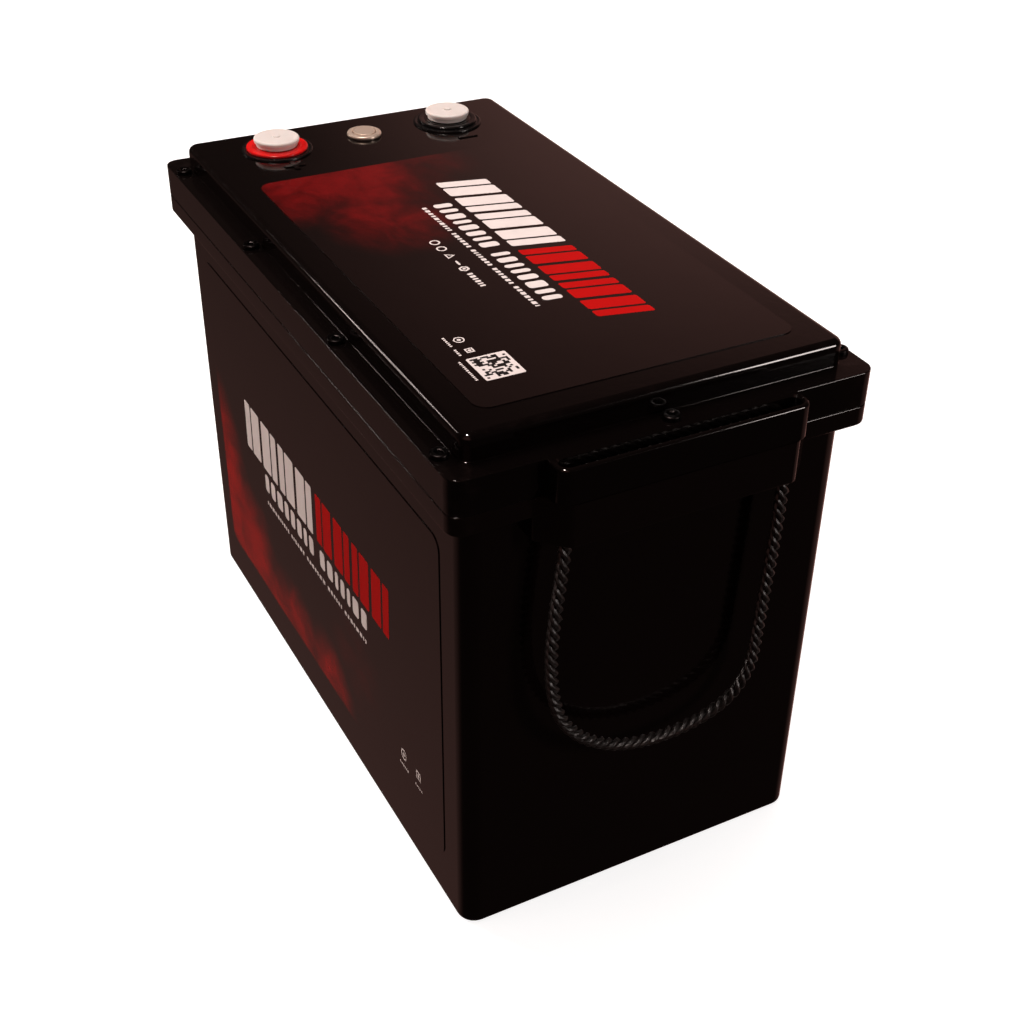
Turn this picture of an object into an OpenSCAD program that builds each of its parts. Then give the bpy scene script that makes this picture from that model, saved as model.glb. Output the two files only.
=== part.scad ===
/* [Case] */
// Length of the case body, end wall to end wall
case_l = 345; // [335:1:360]
// Width of the case body, long side to long side
case_w = 186.8; // [186:0.2:196]
// Height of the underside of the collar round the top of the case
collar_z = 231; // [228:0.5:232]
// Wall thickness of the case and lid
wall = 4; // [3:0.1:4]
// Radius of the case's upright corners
case_r = 9; // [8:0.5:12]

/* [Collar and lid] */
// How far the collar stands out from the end walls
collar_out_l = 6.4; // [5.5:0.1:7]
// How far the collar stands out from the long walls
collar_out_w = 7.9; // [7.5:0.1:9]
// Height of the seam between case and lid
seam_z = 240.8; // [239:0.1:242]
// Height of the ledge that the lid screws sit on
ledge_z = 257.4; // [256:0.1:259]
// Height of the raised middle of the lid
top_z = 269.4; // [268:0.1:271]
// Length of the raised middle of the lid
raised_l = 337.2; // [330:0.2:338]
// Width of the raised middle of the lid
raised_w = 182.4; // [178:0.2:183]

/* [Handle lugs] */
// How far the lugs stand out from the end walls
lug_out = 18; // [17.5:0.1:19]
// Height of the underside of the lugs
lug_z = 220; // [216:0.5:222]
// Half width of the outer face of the lugs
lug_face_half = 54.2; // [54:0.1:56]
// Distance between the two rope holes of a lug
rope_hole_pitch = 107; // [106:0.5:108]

/* [Rope handles] */
// Diameter of the rope
rope_d = 6; // [5:0.1:6.4]
// Height that the free loop swings about
pivot_z = 213; // [212:0.5:214]

/* [Terminals and button] */
// Distance of the terminal row from the middle of the battery
row_x = 140; // [136:0.5:144]
// Distance of each terminal from the centre line
terminal_y = 50; // [48:0.5:54]
// Radius of the tapped hole in each terminal
tap_r = 3.4; // [3.3:0.05:3.5]
// Depth of the tapped hole in each terminal
tap_depth = 16; // [12:1:18]
// How far the push button travels
button_travel = 1.5; // [1:0.1:2]

/* [Cells] */
// Thickness of one cell, along the battery
cell_t = 71.7; // [71:0.1:72]
// Width of one cell, across the battery
cell_w = 173.7; // [172:0.1:174]
// Height of one cell without its poles
cell_h = 204.5; // [200:0.5:205]

/* [Hidden] */
$fn = 48;

slack = 0.3;
collar_l = case_l + 2 * collar_out_l;
collar_w = case_w + 2 * collar_out_w;
collar_r = 7;
raised_r = 6;
floor_t = 5;
gasket_t = 0.4;
lip_top = 250;
lid_roof_z = top_z - wall;
in_l = case_l - 2 * wall;
in_w = case_w - 2 * wall;

// Screws: four along each long side, one in the middle of each end
screw_y = (raised_w / 2 + collar_w / 2) / 2;
screw_end_x = (raised_l / 2 + collar_l / 2) / 2;
screw_long_x = [-158.5, -54, 54, 158.5];
screw_places = concat(
    [for (x = screw_long_x, s = [-1, 1]) [x, s * screw_y]],
    [[-screw_end_x, 0], [screw_end_x, 0]]);
screw_r = 1.9;
screw_tip_z = 234;
screw_head_r = 4;
screw_head_h = 2.2;

// Lugs and rope
rope_r = rope_d / 2;
rope_x = case_l / 2 + 11.5;
rope_y = rope_hole_pitch / 2;
rope_hole_r = rope_r + 0.7;
rope_run_z = 250.5;
lug_root_half = 66;
lug_top_half = 60;
lug_corner_r = 6;
stub_end_z = pivot_z + 5.5;
rope_arc_r = 7.5;

// Route of the free loop, across and up, between its two ends below the lug
loop_route = [[-rope_y, pivot_z], [-55, 200], [-57, 180], [-58, 160], [-56, 138], [-50, 121],
    [-38, 107], [-21, 97], [0, 93], [22, 95], [39, 103], [48, 118], [50, 138], [51, 155],
    [52, 172], [53, 192], [rope_y, pivot_z]];
// Route of the held stretch: up one hole, along the channel, down the other hole
held_route = concat([[-rope_y, stub_end_z], [-rope_y, rope_run_z - rope_arc_r]],
    [for (a = [157.5, 135, 112.5, 90])
        [-rope_y + rope_arc_r + rope_arc_r * cos(a), rope_run_z - rope_arc_r + rope_arc_r * sin(a)]],
    [for (a = [90, 67.5, 45, 22.5])
        [rope_y - rope_arc_r + rope_arc_r * cos(a), rope_run_z - rope_arc_r + rope_arc_r * sin(a)]],
    [[rope_y, rope_run_z - rope_arc_r], [rope_y, stub_end_z]]);

// Terminals
boss_r = 9.8;
boss_top = top_z + 5.1;
shank_r = 6;
stud_r = 4;
stud_bottom = 246;
seal_t = 1;
seal_r = 18.8;
ring_t = 1.4;
ring_r = 16.2;
cap_r = 12;
cap_bottom = top_z + seal_t + ring_t + slack;
cap_top = top_z + 7.1;
nut_top = lid_roof_z;
nut_t = 6.5;
lug_plate_t = 2.5;
mark_x = 26;
mark_l = 11;
mark_t = 2.4;
mark_h = 0.6;

// Push button
bezel_r = 9.3;
bezel_t = 2.2;
barrel_r = 8;
barrel_bottom = 247;
button_r = 6;
button_top = top_z + bezel_t + 0.5;
button_skirt = 5.5;
spring_seat = 256;
spring_turns = 5;
stem_r = 2.2;
stem_end = spring_seat - 1.5;

// Labels
label_t = 0.4;
label_r = 7;
top_label_x = [-97, 153];
top_label_w = 153;
front_label_x = [-148.5, 150.5];
front_label_z = [27, 211.5];

// Cell pack
foam_t = 3;
sheet_t = 0.8;
plate_t = 3;
pitch = cell_t + sheet_t;
pack_right = in_l / 2 - foam_t - plate_t;
pack_left = pack_right - 3 * pitch - cell_t;
cell_z = floor_t + foam_t;
cell_top = cell_z + cell_h;
pole_y = 61;
pole_r = 7;
pole_h = 3;
pole_stud_r = 3;
pole_stud_top = cell_top + pole_h + 9;
bar_t = 2;
tab_t = 0.6;
bar_z = cell_top + pole_h;
strap_w = 16;
strap_t = 0.8;
board_x = pack_left - plate_t;
heatsink_t = 8;
board_t = 2;
board_w = 130;
board_z = [60, 190];
board_face = board_x - strap_t - heatsink_t - 6;
board_back = board_face - board_t;
board_hole_y = 58;
board_hole_z = [68, 182];
bms_block = 12;
bms_block_z = [166, 180];
cable_r = 4.5;
crimp_r = 5.6;
crimp_start = 17;
crimp_end = 28;
lug_z_post = nut_top - nut_t - lug_plate_t;

// The bars alternate between the two sides, so this is 1 or -1
function bar_side(i) = (i % 2 == 1) ? 1 : -1;
function cell_x(i) = pack_left + cell_t / 2 + (i - 1) * pitch;

// One point of a smooth curve through four neighbours
function blend(a, b, c, d, t) = 0.5 * (2 * b + (c - a) * t
    + (2 * a - 5 * b + 4 * c - d) * t * t + (3 * b - a - 3 * c + d) * t * t * t);
function at(p, i) = p[max(0, min(len(p) - 1, i))];
function smooth(p, n) = concat([for (i = [0 : len(p) - 2], k = [0 : n - 1])
    blend(at(p, i - 1), p[i], p[i + 1], at(p, i + 2), k / n)], [p[len(p) - 1]]);
function unit(v) = v / norm(v);
function ahead(p, i) = unit(at(p, i + 1) - at(p, i - 1));

// Tube of n sides swept along the points p; side_on is never along the route
module tube(p, r, side_on, n = 8) {
    rings = [for (i = [0 : len(p) - 1])
        let (u = unit(cross(ahead(p, i), side_on)), v = cross(ahead(p, i), u))
        for (k = [0 : n - 1]) p[i] + r * (cos(360 * k / n) * u + sin(360 * k / n) * v)];
    last = (len(p) - 1) * n;
    polyhedron(rings, concat(
        [[for (k = [0 : n - 1]) k]],
        [for (i = [0 : len(p) - 2], k = [0 : n - 1], h = [0, 1])
            let (a = i * n + k, b = i * n + (k + 1) % n)
            h == 0 ? [a, a + n, b] : [b, a + n, b + n]],
        [[for (k = [n - 1 : -1 : 0]) last + k]]), convexity = 6);
}

module rounded_outline(l, w, r) {
    square([l - 2 * r, w], center = true);
    square([l, w - 2 * r], center = true);
    for (x = [-1, 1], y = [-1, 1]) {
        translate([x * (l / 2 - r), y * (w / 2 - r)]) circle(r);
    }
}

module rounded_block(l, w, r, z0, z1) {
    translate([0, 0, z0]) linear_extrude(z1 - z0) rounded_outline(l, w, r);
}

module disc(x, y, r, z0, z1) {
    translate([x, y, z0]) cylinder(r = r, h = z1 - z0);
}

module ring(x, y, r_out, r_in, z0, z1) {
    difference() {
        disc(x, y, r_out, z0, z1);
        disc(x, y, r_in, z0 - 1, z1 + 1);
    }
}

module hex_nut(x, y, across, hole_r, z0, z1) {
    difference() {
        translate([x, y, z0]) cylinder(r = across / sqrt(3), h = z1 - z0, $fn = 6);
        disc(x, y, hole_r, z0 - 1, z1 + 1);
    }
}

module box(x, y, z) {
    translate([x[0], y[0], z[0]]) cube([x[1] - x[0], y[1] - y[0], z[1] - z[0]]);
}

module each_end() {
    children();
    mirror([1, 0, 0]) children();
}

// The rope passes up and down through these, and through the channel between them
module rope_ways(z0) {
    for (s = [-1, 1]) disc(rope_x, s * rope_y, rope_hole_r, z0, ledge_z + 1);
    box([rope_x - rope_hole_r, rope_x + rope_hole_r], [-rope_y, rope_y],
        [rope_run_z - rope_r, ledge_z + 1]);
    for (s = [-1, 1]) {
        box([rope_x - rope_hole_r, rope_x + rope_hole_r],
            s < 0 ? [-rope_y, -rope_y + rope_arc_r + 1] : [rope_y - rope_arc_r - 1, rope_y],
            [rope_run_z - rope_arc_r, ledge_z]);
    }
}

module lower_lug() {
    x0 = case_l / 2 - 1;
    x1 = case_l / 2 + collar_out_l;
    x2 = case_l / 2 + lug_out;
    translate([0, 0, lug_z]) linear_extrude(seam_z - gasket_t / 2 - lug_z)
        polygon([[x0, -lug_root_half], [x1, -lug_root_half], [x2, -lug_face_half],
            [x2, lug_face_half], [x1, lug_root_half], [x0, lug_root_half]]);
}

module upper_lug() {
    x0 = case_l / 2 + slack + 1;
    x2 = case_l / 2 + lug_out;
    z0 = seam_z + gasket_t / 2;
    box([x0, x2 - lug_corner_r], [-lug_top_half, lug_top_half], [z0, ledge_z]);
    box([x0, x2], [-lug_top_half + lug_corner_r, lug_top_half - lug_corner_r], [z0, ledge_z]);
    for (s = [-1, 1]) {
        disc(x2 - lug_corner_r, s * (lug_top_half - lug_corner_r), lug_corner_r, z0, ledge_z);
    }
}

module case() {
    color("#16110f") difference() {
        union() {
            rounded_block(case_l, case_w, case_r, 0, lip_top);
            rounded_block(collar_l, collar_w, collar_r, collar_z, seam_z - gasket_t / 2);
            each_end() lower_lug();
        }
        rounded_block(in_l, in_w, case_r - wall, floor_t, lip_top + 1);
        each_end() rope_ways(lug_z - 1);
        for (p = screw_places) disc(p[0], p[1], screw_r + 0.1, screw_tip_z - 1, lip_top);
    }
}

module polarity_bar(x, y, len_x, len_y) {
    box([x - len_x / 2, x + len_x / 2], [y - len_y / 2, y + len_y / 2], [top_z - 1, top_z + mark_h]);
}

module polarity_marks() {
    x = mark_x - row_x;
    polarity_bar(x, -terminal_y, mark_l, mark_t);
    polarity_bar(x, -terminal_y, mark_t, mark_l);
    polarity_bar(x, terminal_y, mark_t, mark_l);
}

module lid() {
    z0 = seam_z + gasket_t / 2;
    color("#1a1412") difference() {
        union() {
            rounded_block(collar_l, collar_w, collar_r, z0, ledge_z);
            rounded_block(raised_l, raised_w, raised_r, ledge_z - 1, top_z);
            each_end() upper_lug();
            polarity_marks();
        }
        rounded_block(case_l + 2 * slack, case_w + 2 * slack, case_r, z0 - 1, lip_top + slack);
        rounded_block(raised_l - 2 * wall, raised_w - 2 * wall, 3, lip_top, lid_roof_z);
        each_end() rope_ways(z0 - 1);
        for (p = screw_places) disc(p[0], p[1], screw_r + 0.2, z0 - 1, ledge_z + 1);
        for (s = [-1, 1]) disc(-row_x, s * terminal_y, shank_r + 0.1, lid_roof_z - 1, top_z + 1);
        disc(-row_x, 0, barrel_r + 0.1, lid_roof_z - 1, top_z + 1);
    }
}

module lid_gasket() {
    z0 = seam_z - gasket_t / 2;
    z1 = seam_z + gasket_t / 2;
    color("#0c0c0c") difference() {
        rounded_block(collar_l - 0.8, collar_w - 0.8, collar_r - 0.4, z0, z1);
        rounded_block(case_l + 2 * slack, case_w + 2 * slack, case_r, z0 - 1, z1 + 1);
        for (p = screw_places) disc(p[0], p[1], screw_r + 0.1, z0 - 1, z1 + 1);
    }
}

module lid_screws() {
    color("#202020") for (p = screw_places) {
        difference() {
            union() {
                disc(p[0], p[1], screw_r, screw_tip_z, ledge_z);
                disc(p[0], p[1], screw_head_r, ledge_z, ledge_z + screw_head_h);
            }
            translate([p[0], p[1], ledge_z + 0.8]) cylinder(r = 1.7, h = screw_head_h, $fn = 6);
        }
    }
}

module terminal(y) {
    color("#c9c6bd") difference() {
        union() {
            disc(-row_x, y, boss_r, top_z, boss_top);
            disc(-row_x, y, shank_r, lid_roof_z, top_z);
            disc(-row_x, y, stud_r, stud_bottom, lid_roof_z);
        }
        disc(-row_x, y, tap_r, boss_top - tap_depth, boss_top + 1);
    }
}

module terminal_positive() { terminal(-terminal_y); }

module terminal_negative() { terminal(terminal_y); }

module terminal_ring(y) {
    ring(-row_x, y, ring_r, boss_r + 0.1, top_z + seal_t, top_z + seal_t + ring_t);
}

module terminal_ring_positive() { color("#c8141e") terminal_ring(-terminal_y); }

module terminal_ring_negative() { color("#141414") terminal_ring(terminal_y); }

module terminal_seals() {
    color("#0e0e0e") for (s = [-1, 1]) {
        ring(-row_x, s * terminal_y, seal_r, boss_r + 0.1, top_z, top_z + seal_t);
    }
}

module terminal_nuts() {
    color("#b9bcc0") for (s = [-1, 1]) {
        hex_nut(-row_x, s * terminal_y, 18, stud_r + 0.05, nut_top - nut_t, nut_top);
        hex_nut(-row_x, s * terminal_y, 14, stud_r + 0.05,
            nut_top - nut_t - lug_plate_t - 4, nut_top - nut_t - lug_plate_t);
    }
}

module terminal_cap(y) {
    color("#f4f4f2") difference() {
        union() {
            disc(-row_x, y, cap_r, cap_bottom, cap_top);
            disc(-row_x, y, 1.8, cap_top, cap_top + 0.5);
        }
        disc(-row_x, y, boss_r + slack, cap_bottom - 1, boss_top + slack);
    }
}

module cap_positive() { terminal_cap(-terminal_y); }

module cap_negative() { terminal_cap(terminal_y); }

module button_housing() {
    color("#c4c6c8") difference() {
        union() {
            disc(-row_x, 0, bezel_r, top_z, top_z + bezel_t);
            disc(-row_x, 0, barrel_r, barrel_bottom, top_z);
        }
        disc(-row_x, 0, button_r + slack, spring_seat, top_z + bezel_t + 1);
        disc(-row_x, 0, stem_r + slack, stem_end - button_travel - 1, spring_seat + 1);
    }
}

module button_cap() {
    color("#d8d9da") {
        disc(-row_x, 0, button_r, button_top - button_skirt, button_top);
        disc(-row_x, 0, stem_r, stem_end, button_top - button_skirt);
    }
}

module button_spring() {
    wire_r = 0.35;
    coil_r = 3.6;
    z0 = spring_seat + wire_r;
    rise = button_top - button_skirt - spring_seat - 2 * wire_r;
    turn_points = 10;
    coil = [for (i = [0 : spring_turns * turn_points])
        [-row_x + coil_r * cos(i * 360 / turn_points), coil_r * sin(i * 360 / turn_points),
            z0 + rise * i / (spring_turns * turn_points)]];
    color("#9aa0a6") tube(coil, wire_r, [0, 0, 1], 6);
}

module button_nut() {
    color("#b9bcc0") hex_nut(-row_x, 0, 22, barrel_r + 0.05, lid_roof_z - 3, lid_roof_z);
}

module button_contacts() {
    color("#c9a24a") for (y = [-3, 3]) {
        box([-row_x - 1.2, -row_x + 1.2], [y - 0.3, y + 0.3], [barrel_bottom - 7, barrel_bottom]);
    }
}

module rope_anchor() {
    tube([for (p = held_route) [rope_x, p[0], p[1]]], rope_r, [1, 0, 0], 10);
}

module rope_handle() {
    tube([for (p = smooth(loop_route, 2)) [rope_x, p[0], p[1]]], rope_r, [1, 0, 0], 10);
}

module rope_anchor_right() { color("#15130f") rope_anchor(); }

module rope_handle_right() { color("#15130f") rope_handle(); }

module rope_anchor_left() { color("#15130f") rotate([0, 0, 180]) rope_anchor(); }

module rope_handle_left() { color("#15130f") rotate([0, 0, 180]) rope_handle(); }

module top_label() {
    mid_x = (top_label_x[0] + top_label_x[1]) / 2;
    color("#8a1f24") translate([mid_x, 0, top_z]) linear_extrude(label_t)
        rounded_outline(top_label_x[1] - top_label_x[0], top_label_w, label_r);
}

module front_label() {
    mid_x = (front_label_x[0] + front_label_x[1]) / 2;
    mid_z = (front_label_z[0] + front_label_z[1]) / 2;
    color("#5c1a1c") translate([mid_x, -case_w / 2, mid_z]) rotate([90, 0, 0])
        linear_extrude(label_t)
        rounded_outline(front_label_x[1] - front_label_x[0], front_label_z[1] - front_label_z[0], label_r);
}

module cell(i) {
    color("#2b6fb3") translate([cell_x(i), 0, 0]) rounded_block(cell_t, cell_w, 3, cell_z, cell_top);
}

module cell_1() { cell(1); }

module cell_2() { cell(2); }

module cell_3() { cell(3); }

module cell_4() { cell(4); }

module cell_poles() {
    color("#c8ccd0") for (i = [1 : 4], s = [-1, 1]) {
        disc(cell_x(i), s * pole_y, pole_r, cell_top, bar_z);
        disc(cell_x(i), s * pole_y, pole_stud_r, bar_z, pole_stud_top);
    }
}

module cell_vents() {
    color("#d8d0b0") for (i = [1 : 4]) {
        translate([cell_x(i), 0, 0]) rounded_block(18, 32, 8.9, cell_top, cell_top + 0.6);
    }
}

module cell_insulators() {
    color("#e6dfc4") for (i = [1 : 3]) {
        box([cell_x(i) + cell_t / 2, cell_x(i + 1) - cell_t / 2],
            [-cell_w / 2, cell_w / 2], [cell_z, cell_top]);
    }
}

module end_plates() {
    color("#d9cf9a") {
        box([pack_left - plate_t, pack_left], [-cell_w / 2, cell_w / 2], [cell_z, cell_top]);
        box([pack_right, pack_right + plate_t], [-cell_w / 2, cell_w / 2], [cell_z, cell_top]);
    }
}

module pack_straps() {
    mid = (pack_left + pack_right) / 2;
    len_in = pack_right - pack_left + 2 * plate_t;
    color("#a9adb2") for (z = [30, 196]) {
        translate([mid, 0, z]) linear_extrude(strap_w) difference() {
            square([len_in + 2 * strap_t, cell_w + 2 * strap_t], center = true);
            square([len_in, cell_w], center = true);
        }
    }
}

module base_foam() {
    color("#3a3a3a") box([pack_left - plate_t, pack_right + plate_t], [-cell_w / 2, cell_w / 2],
        [floor_t, cell_z]);
}

module end_foam() {
    color("#3a3a3a") box([pack_right + plate_t + strap_t, in_l / 2], [-70, 70], [20, 210]);
}

module top_foam() {
    color("#3f3f3f") for (y = [[-46, -17], [17, 46]]) box([58, 92], y, [cell_top, lid_roof_z]);
}

module busbars() {
    color("#b87443") for (i = [1 : 3]) {
        y = bar_side(i) * pole_y;
        difference() {
            translate([(cell_x(i) + cell_x(i + 1)) / 2, y, 0])
                rounded_block(pitch + 18, 20, 4, bar_z, bar_z + bar_t);
            for (k = [i, i + 1]) disc(cell_x(k), y, pole_stud_r + 0.1, bar_z - 1, bar_z + bar_t + 1);
        }
    }
}

module busbar_nuts() {
    color("#b9bcc0") for (i = [1 : 4], s = [-1, 1]) {
        under_lug = (i == 1 || i == 4) && s < 0;
        under_tab = i <= 3 && s * bar_side(i) > 0;
        z0 = bar_z + (under_lug ? lug_plate_t : under_tab ? bar_t + tab_t : bar_t);
        hex_nut(cell_x(i), s * pole_y, 10, pole_stud_r + 0.05, z0, z0 + 5);
    }
}

module sense_tabs() {
    color("#d8d2c8") for (i = [1 : 3]) {
        y = bar_side(i) * pole_y;
        z0 = bar_z + bar_t;
        difference() {
            union() {
                disc(cell_x(i), y, 6, z0, z0 + tab_t);
                box([cell_x(i) - 3, cell_x(i) + 3], y > 0 ? [y - 14, y - 4] : [y + 4, y + 14],
                    [z0, z0 + tab_t]);
            }
            disc(cell_x(i), y, pole_stud_r + 0.1, z0 - 1, z0 + 1);
        }
    }
}

module bms_heatsink() {
    fins_x = board_x - strap_t - heatsink_t;
    color("#8d9196") {
        box([fins_x + 5, board_x - strap_t], [-board_w / 2, board_w / 2], board_z);
        for (y = [-60 : 12 : 60]) box([fins_x, fins_x + 5], [y - 1, y + 1], board_z);
    }
}

module bms_board() {
    color("#1f5a34") difference() {
        box([board_back, board_face], [-board_w / 2, board_w / 2], board_z);
        for (y = [-board_hole_y, board_hole_y], z = board_hole_z) {
            translate([board_back - 1, y, z]) rotate([0, 90, 0])
                cylinder(r = 1.6, h = board_t + 2);
        }
    }
}

module bms_transistors() {
    color("#26262a") for (y = [-45 : 15 : 45], z = [84, 104]) {
        box([board_face, board_face + 4], [y - 5, y + 5], [z - 5, z + 5]);
    }
}

module bms_screws() {
    color("#b0b4b8") for (y = [-board_hole_y, board_hole_y], z = board_hole_z) {
        translate([board_back - 1.8, y, z]) rotate([0, 90, 0]) {
            cylinder(r = 2.8, h = 1.8);
            cylinder(r = 1.5, h = 1.8 + board_t + 6);
        }
    }
}

module bms_terminals() {
    color("#c8ccd0") for (y = [-30, 30]) {
        box([board_back - bms_block, board_back], [y - 7, y + 7], bms_block_z);
    }
}

module balance_plug() {
    color("#e8e4d8") box([board_back - 6, board_back], [-8, 8], [140, 148]);
}

// Wires are held all the way, so each is one smooth tube from end to end
module wire(route, r, n = 6, side_on = [0.3, 0.9, 0.2]) {
    tube(smooth(route, 3), r, unit(side_on), n);
}

module balance_wires() {
    plug_x = board_back - 3;
    lane_y = [32, 22, 27];
    pin_y = [3, -3, 0];
    color("#3a6fd0") for (i = [1 : 3]) {
        s = bar_side(i);
        lane = lane_y[i - 1];
        pin = pin_y[i - 1];
        drop = s > 0 ? [[cell_x(i) - 16, 38, 216]] :
            [[cell_x(i) - 14, -30, 215.4], [cell_x(i) - 16, -8, 214.8], [cell_x(i) - 21, 10, 214.8]];
        wire(concat([[cell_x(i) - 1, s * (pole_y - 12), bar_z + bar_t + tab_t + 1],
            [cell_x(i) - 8, s * (pole_y - 15), 219.6]], drop,
            [for (x = [cell_x(i) - 34 : -24 : -104]) [x, lane, 215.4]],
            [[-119, lane - 4, 215.4], [-132, lane - 13, 214.6], [-144, lane - 20, 208],
            [plug_x - 2, pin + 1, 196], [plug_x, pin, 184], [plug_x, pin, 166],
            [plug_x, pin, 148.2]]), 0.8, 6, [1, 1, 1]);
    }
}

module temperature_probe() {
    color("#2c2c30") {
        box([cell_x(3) - 3, cell_x(3) + 3], [-34, -20], [cell_top, cell_top + 3]);
    }
}

module wireless_module() {
    color("#1b3d7a") box([-30, 10], [40, 62], [lid_roof_z - 3, lid_roof_z]);
}

module button_lead() {
    color("#303030") for (s = [-1, 1]) {
        wire([[-row_x, 3 * s, barrel_bottom - 7.4], [-row_x - 6, 6 * s, 231], [-160, 11 * s, 214],
            [-161, 13 * s, 200], [-156, 14 * s, 188], [board_back - 4, 14 * s, 184],
            [board_back - 0.2, 14 * s, 184]], 0.9);
    }
}

// A ring tongue with its crimped barrel above the tongue (side 1) or below it (side -1)
module cable_lug(x, y, z, turn, hole, side) {
    crimp_z = side > 0 ? crimp_r : lug_plate_t - crimp_r;
    translate([x, y, z]) rotate([0, 0, turn]) {
        difference() {
            union() {
                cylinder(r = 8.5, h = lug_plate_t);
                translate([0, -5.5, 0]) cube([crimp_start, 11, lug_plate_t]);
            }
            translate([0, 0, -1]) cylinder(r = hole, h = lug_plate_t + 2);
        }
        translate([crimp_start, 0, crimp_z]) rotate([0, 90, 0])
            cylinder(r = crimp_r, h = crimp_end - crimp_start);
    }
}

// Directions in which the four lugs point, and the point where each cable leaves its barrel
turn_post_positive = 0;
turn_post_negative = -45;
turn_cell_positive = 60;
turn_cell_negative = 110;
function way(turn) = [cos(turn), sin(turn), 0];
function mouth(x, y, z, turn, side) = [x, y, z + (side > 0 ? crimp_r : lug_plate_t - crimp_r)]
    + (crimp_end + 0.1) * way(turn);

module cable_lugs() {
    color("#cfd2d4") {
        cable_lug(-row_x, -terminal_y, lug_z_post, turn_post_positive, stud_r + 0.1, -1);
        cable_lug(-row_x, terminal_y, lug_z_post, turn_post_negative, stud_r + 0.1, -1);
        cable_lug(cell_x(1), -pole_y, bar_z, turn_cell_positive, pole_stud_r + 0.1, 1);
        cable_lug(cell_x(4), -pole_y, bar_z, turn_cell_negative, pole_stud_r + 0.1, 1);
    }
}

module positive_cable() {
    a = mouth(cell_x(1), -pole_y, bar_z, turn_cell_positive, 1);
    b = mouth(-row_x, -terminal_y, lug_z_post, turn_post_positive, -1);
    color("#b3202a") wire([a, a + 3 * way(turn_cell_positive), [-70, -25, 223], [-68, -16, 232],
        [-74, -15, 244], [-84, -28, 252], [-94, -44, 253.3], b + 4 * way(turn_post_positive), b],
        cable_r, 10);
}

module cell_negative_cable() {
    a = mouth(cell_x(4), -pole_y, bar_z, turn_cell_negative, 1);
    color("#1c1c1c") wire([a, a + 3 * way(turn_cell_negative), [110, -18, 221.5], [98, -6, 222],
        [60, 0, 222], [0, 0, 222], [-60, -2, 222], [-104, -8, 223], [-130, -20, 222],
        [-146, -28, 211], [board_back - 6, -30, 196], [board_back - 6, -30, bms_block_z[1] + 4],
        [board_back - 6, -30, bms_block_z[1] + 0.1]], cable_r, 8);
}

module post_negative_cable() {
    b = mouth(-row_x, terminal_y, lug_z_post, turn_post_negative, -1);
    color("#1c1c1c") wire([b, b + 3 * way(turn_post_negative), [-112, 20, 249], [-112, 15, 241],
        [-120, 14, 233], [-134, 18, 227], [-147, 26, 215], [board_back - 6, 30, 198],
        [board_back - 6, 30, bms_block_z[1] + 4], [board_back - 6, 30, bms_block_z[1] + 0.1]],
        cable_r, 8);
}

case();
lid();
lid_gasket();
lid_screws();
terminal_positive();
terminal_negative();
terminal_ring_positive();
terminal_ring_negative();
terminal_seals();
terminal_nuts();
cap_positive();
cap_negative();
button_housing();
button_cap();
button_spring();
button_nut();
button_contacts();
rope_anchor_right();
rope_handle_right();
rope_anchor_left();
rope_handle_left();
top_label();
front_label();
cell_1();
cell_2();
cell_3();
cell_4();
cell_poles();
cell_vents();
cell_insulators();
end_plates();
pack_straps();
base_foam();
end_foam();
top_foam();
busbars();
busbar_nuts();
sense_tabs();
bms_heatsink();
bms_board();
bms_transistors();
bms_screws();
bms_terminals();
balance_plug();
balance_wires();
temperature_probe();
wireless_module();
button_lead();
positive_cable();
cell_negative_cable();
post_negative_cable();
cable_lugs();
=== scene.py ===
"""Deep cycle battery with rope handles: the visible pieces, built round the fixed frame."""

import math
import random

import bmesh
import bpy
from bpy.props import FloatProperty, FloatVectorProperty, IntProperty, PointerProperty
from mathutils import Matrix, Vector


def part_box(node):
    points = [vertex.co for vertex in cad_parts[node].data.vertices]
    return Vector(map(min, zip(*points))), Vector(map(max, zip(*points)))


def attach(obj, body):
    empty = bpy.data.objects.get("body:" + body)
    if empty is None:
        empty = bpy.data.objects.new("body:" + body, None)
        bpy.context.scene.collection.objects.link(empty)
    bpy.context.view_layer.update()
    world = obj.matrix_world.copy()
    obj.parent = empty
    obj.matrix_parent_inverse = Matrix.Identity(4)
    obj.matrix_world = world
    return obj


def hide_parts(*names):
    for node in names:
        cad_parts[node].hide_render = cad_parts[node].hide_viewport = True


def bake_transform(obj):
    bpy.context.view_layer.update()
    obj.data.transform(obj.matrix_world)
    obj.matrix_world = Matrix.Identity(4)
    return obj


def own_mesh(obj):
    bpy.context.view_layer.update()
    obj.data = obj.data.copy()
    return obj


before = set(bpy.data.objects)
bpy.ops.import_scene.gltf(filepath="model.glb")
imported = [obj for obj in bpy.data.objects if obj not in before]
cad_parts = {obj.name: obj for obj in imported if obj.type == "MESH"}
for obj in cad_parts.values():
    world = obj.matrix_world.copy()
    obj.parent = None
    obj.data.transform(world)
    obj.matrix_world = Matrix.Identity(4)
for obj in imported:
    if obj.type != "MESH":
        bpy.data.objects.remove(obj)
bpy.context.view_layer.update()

bl_info = {
    "name": "Deep cycle battery",
    "version": (1, 0, 0),
    "blender": (4, 5, 0),
    "location": "3D View > Sidebar > Battery",
    "description": "Builds a deep cycle battery with rope handles, screw terminals and a push button",
    "category": "Object",
}

MM = 0.001
LABEL_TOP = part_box("top_label")
LABEL_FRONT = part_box("front_label")
ROW_X = -140.0
TERMINALS = (("positive", -50.0), ("negative", 50.0))

# Outlines of the case and lid: half length, half width, corner radius
WALL = (172.5, 93.4, 9.0)
INSIDE = (168.5, 89.4, 5.0)
COLLAR = (178.9, 101.3, 7.0)
RAISED = (168.6, 91.2, 6.0)

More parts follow.
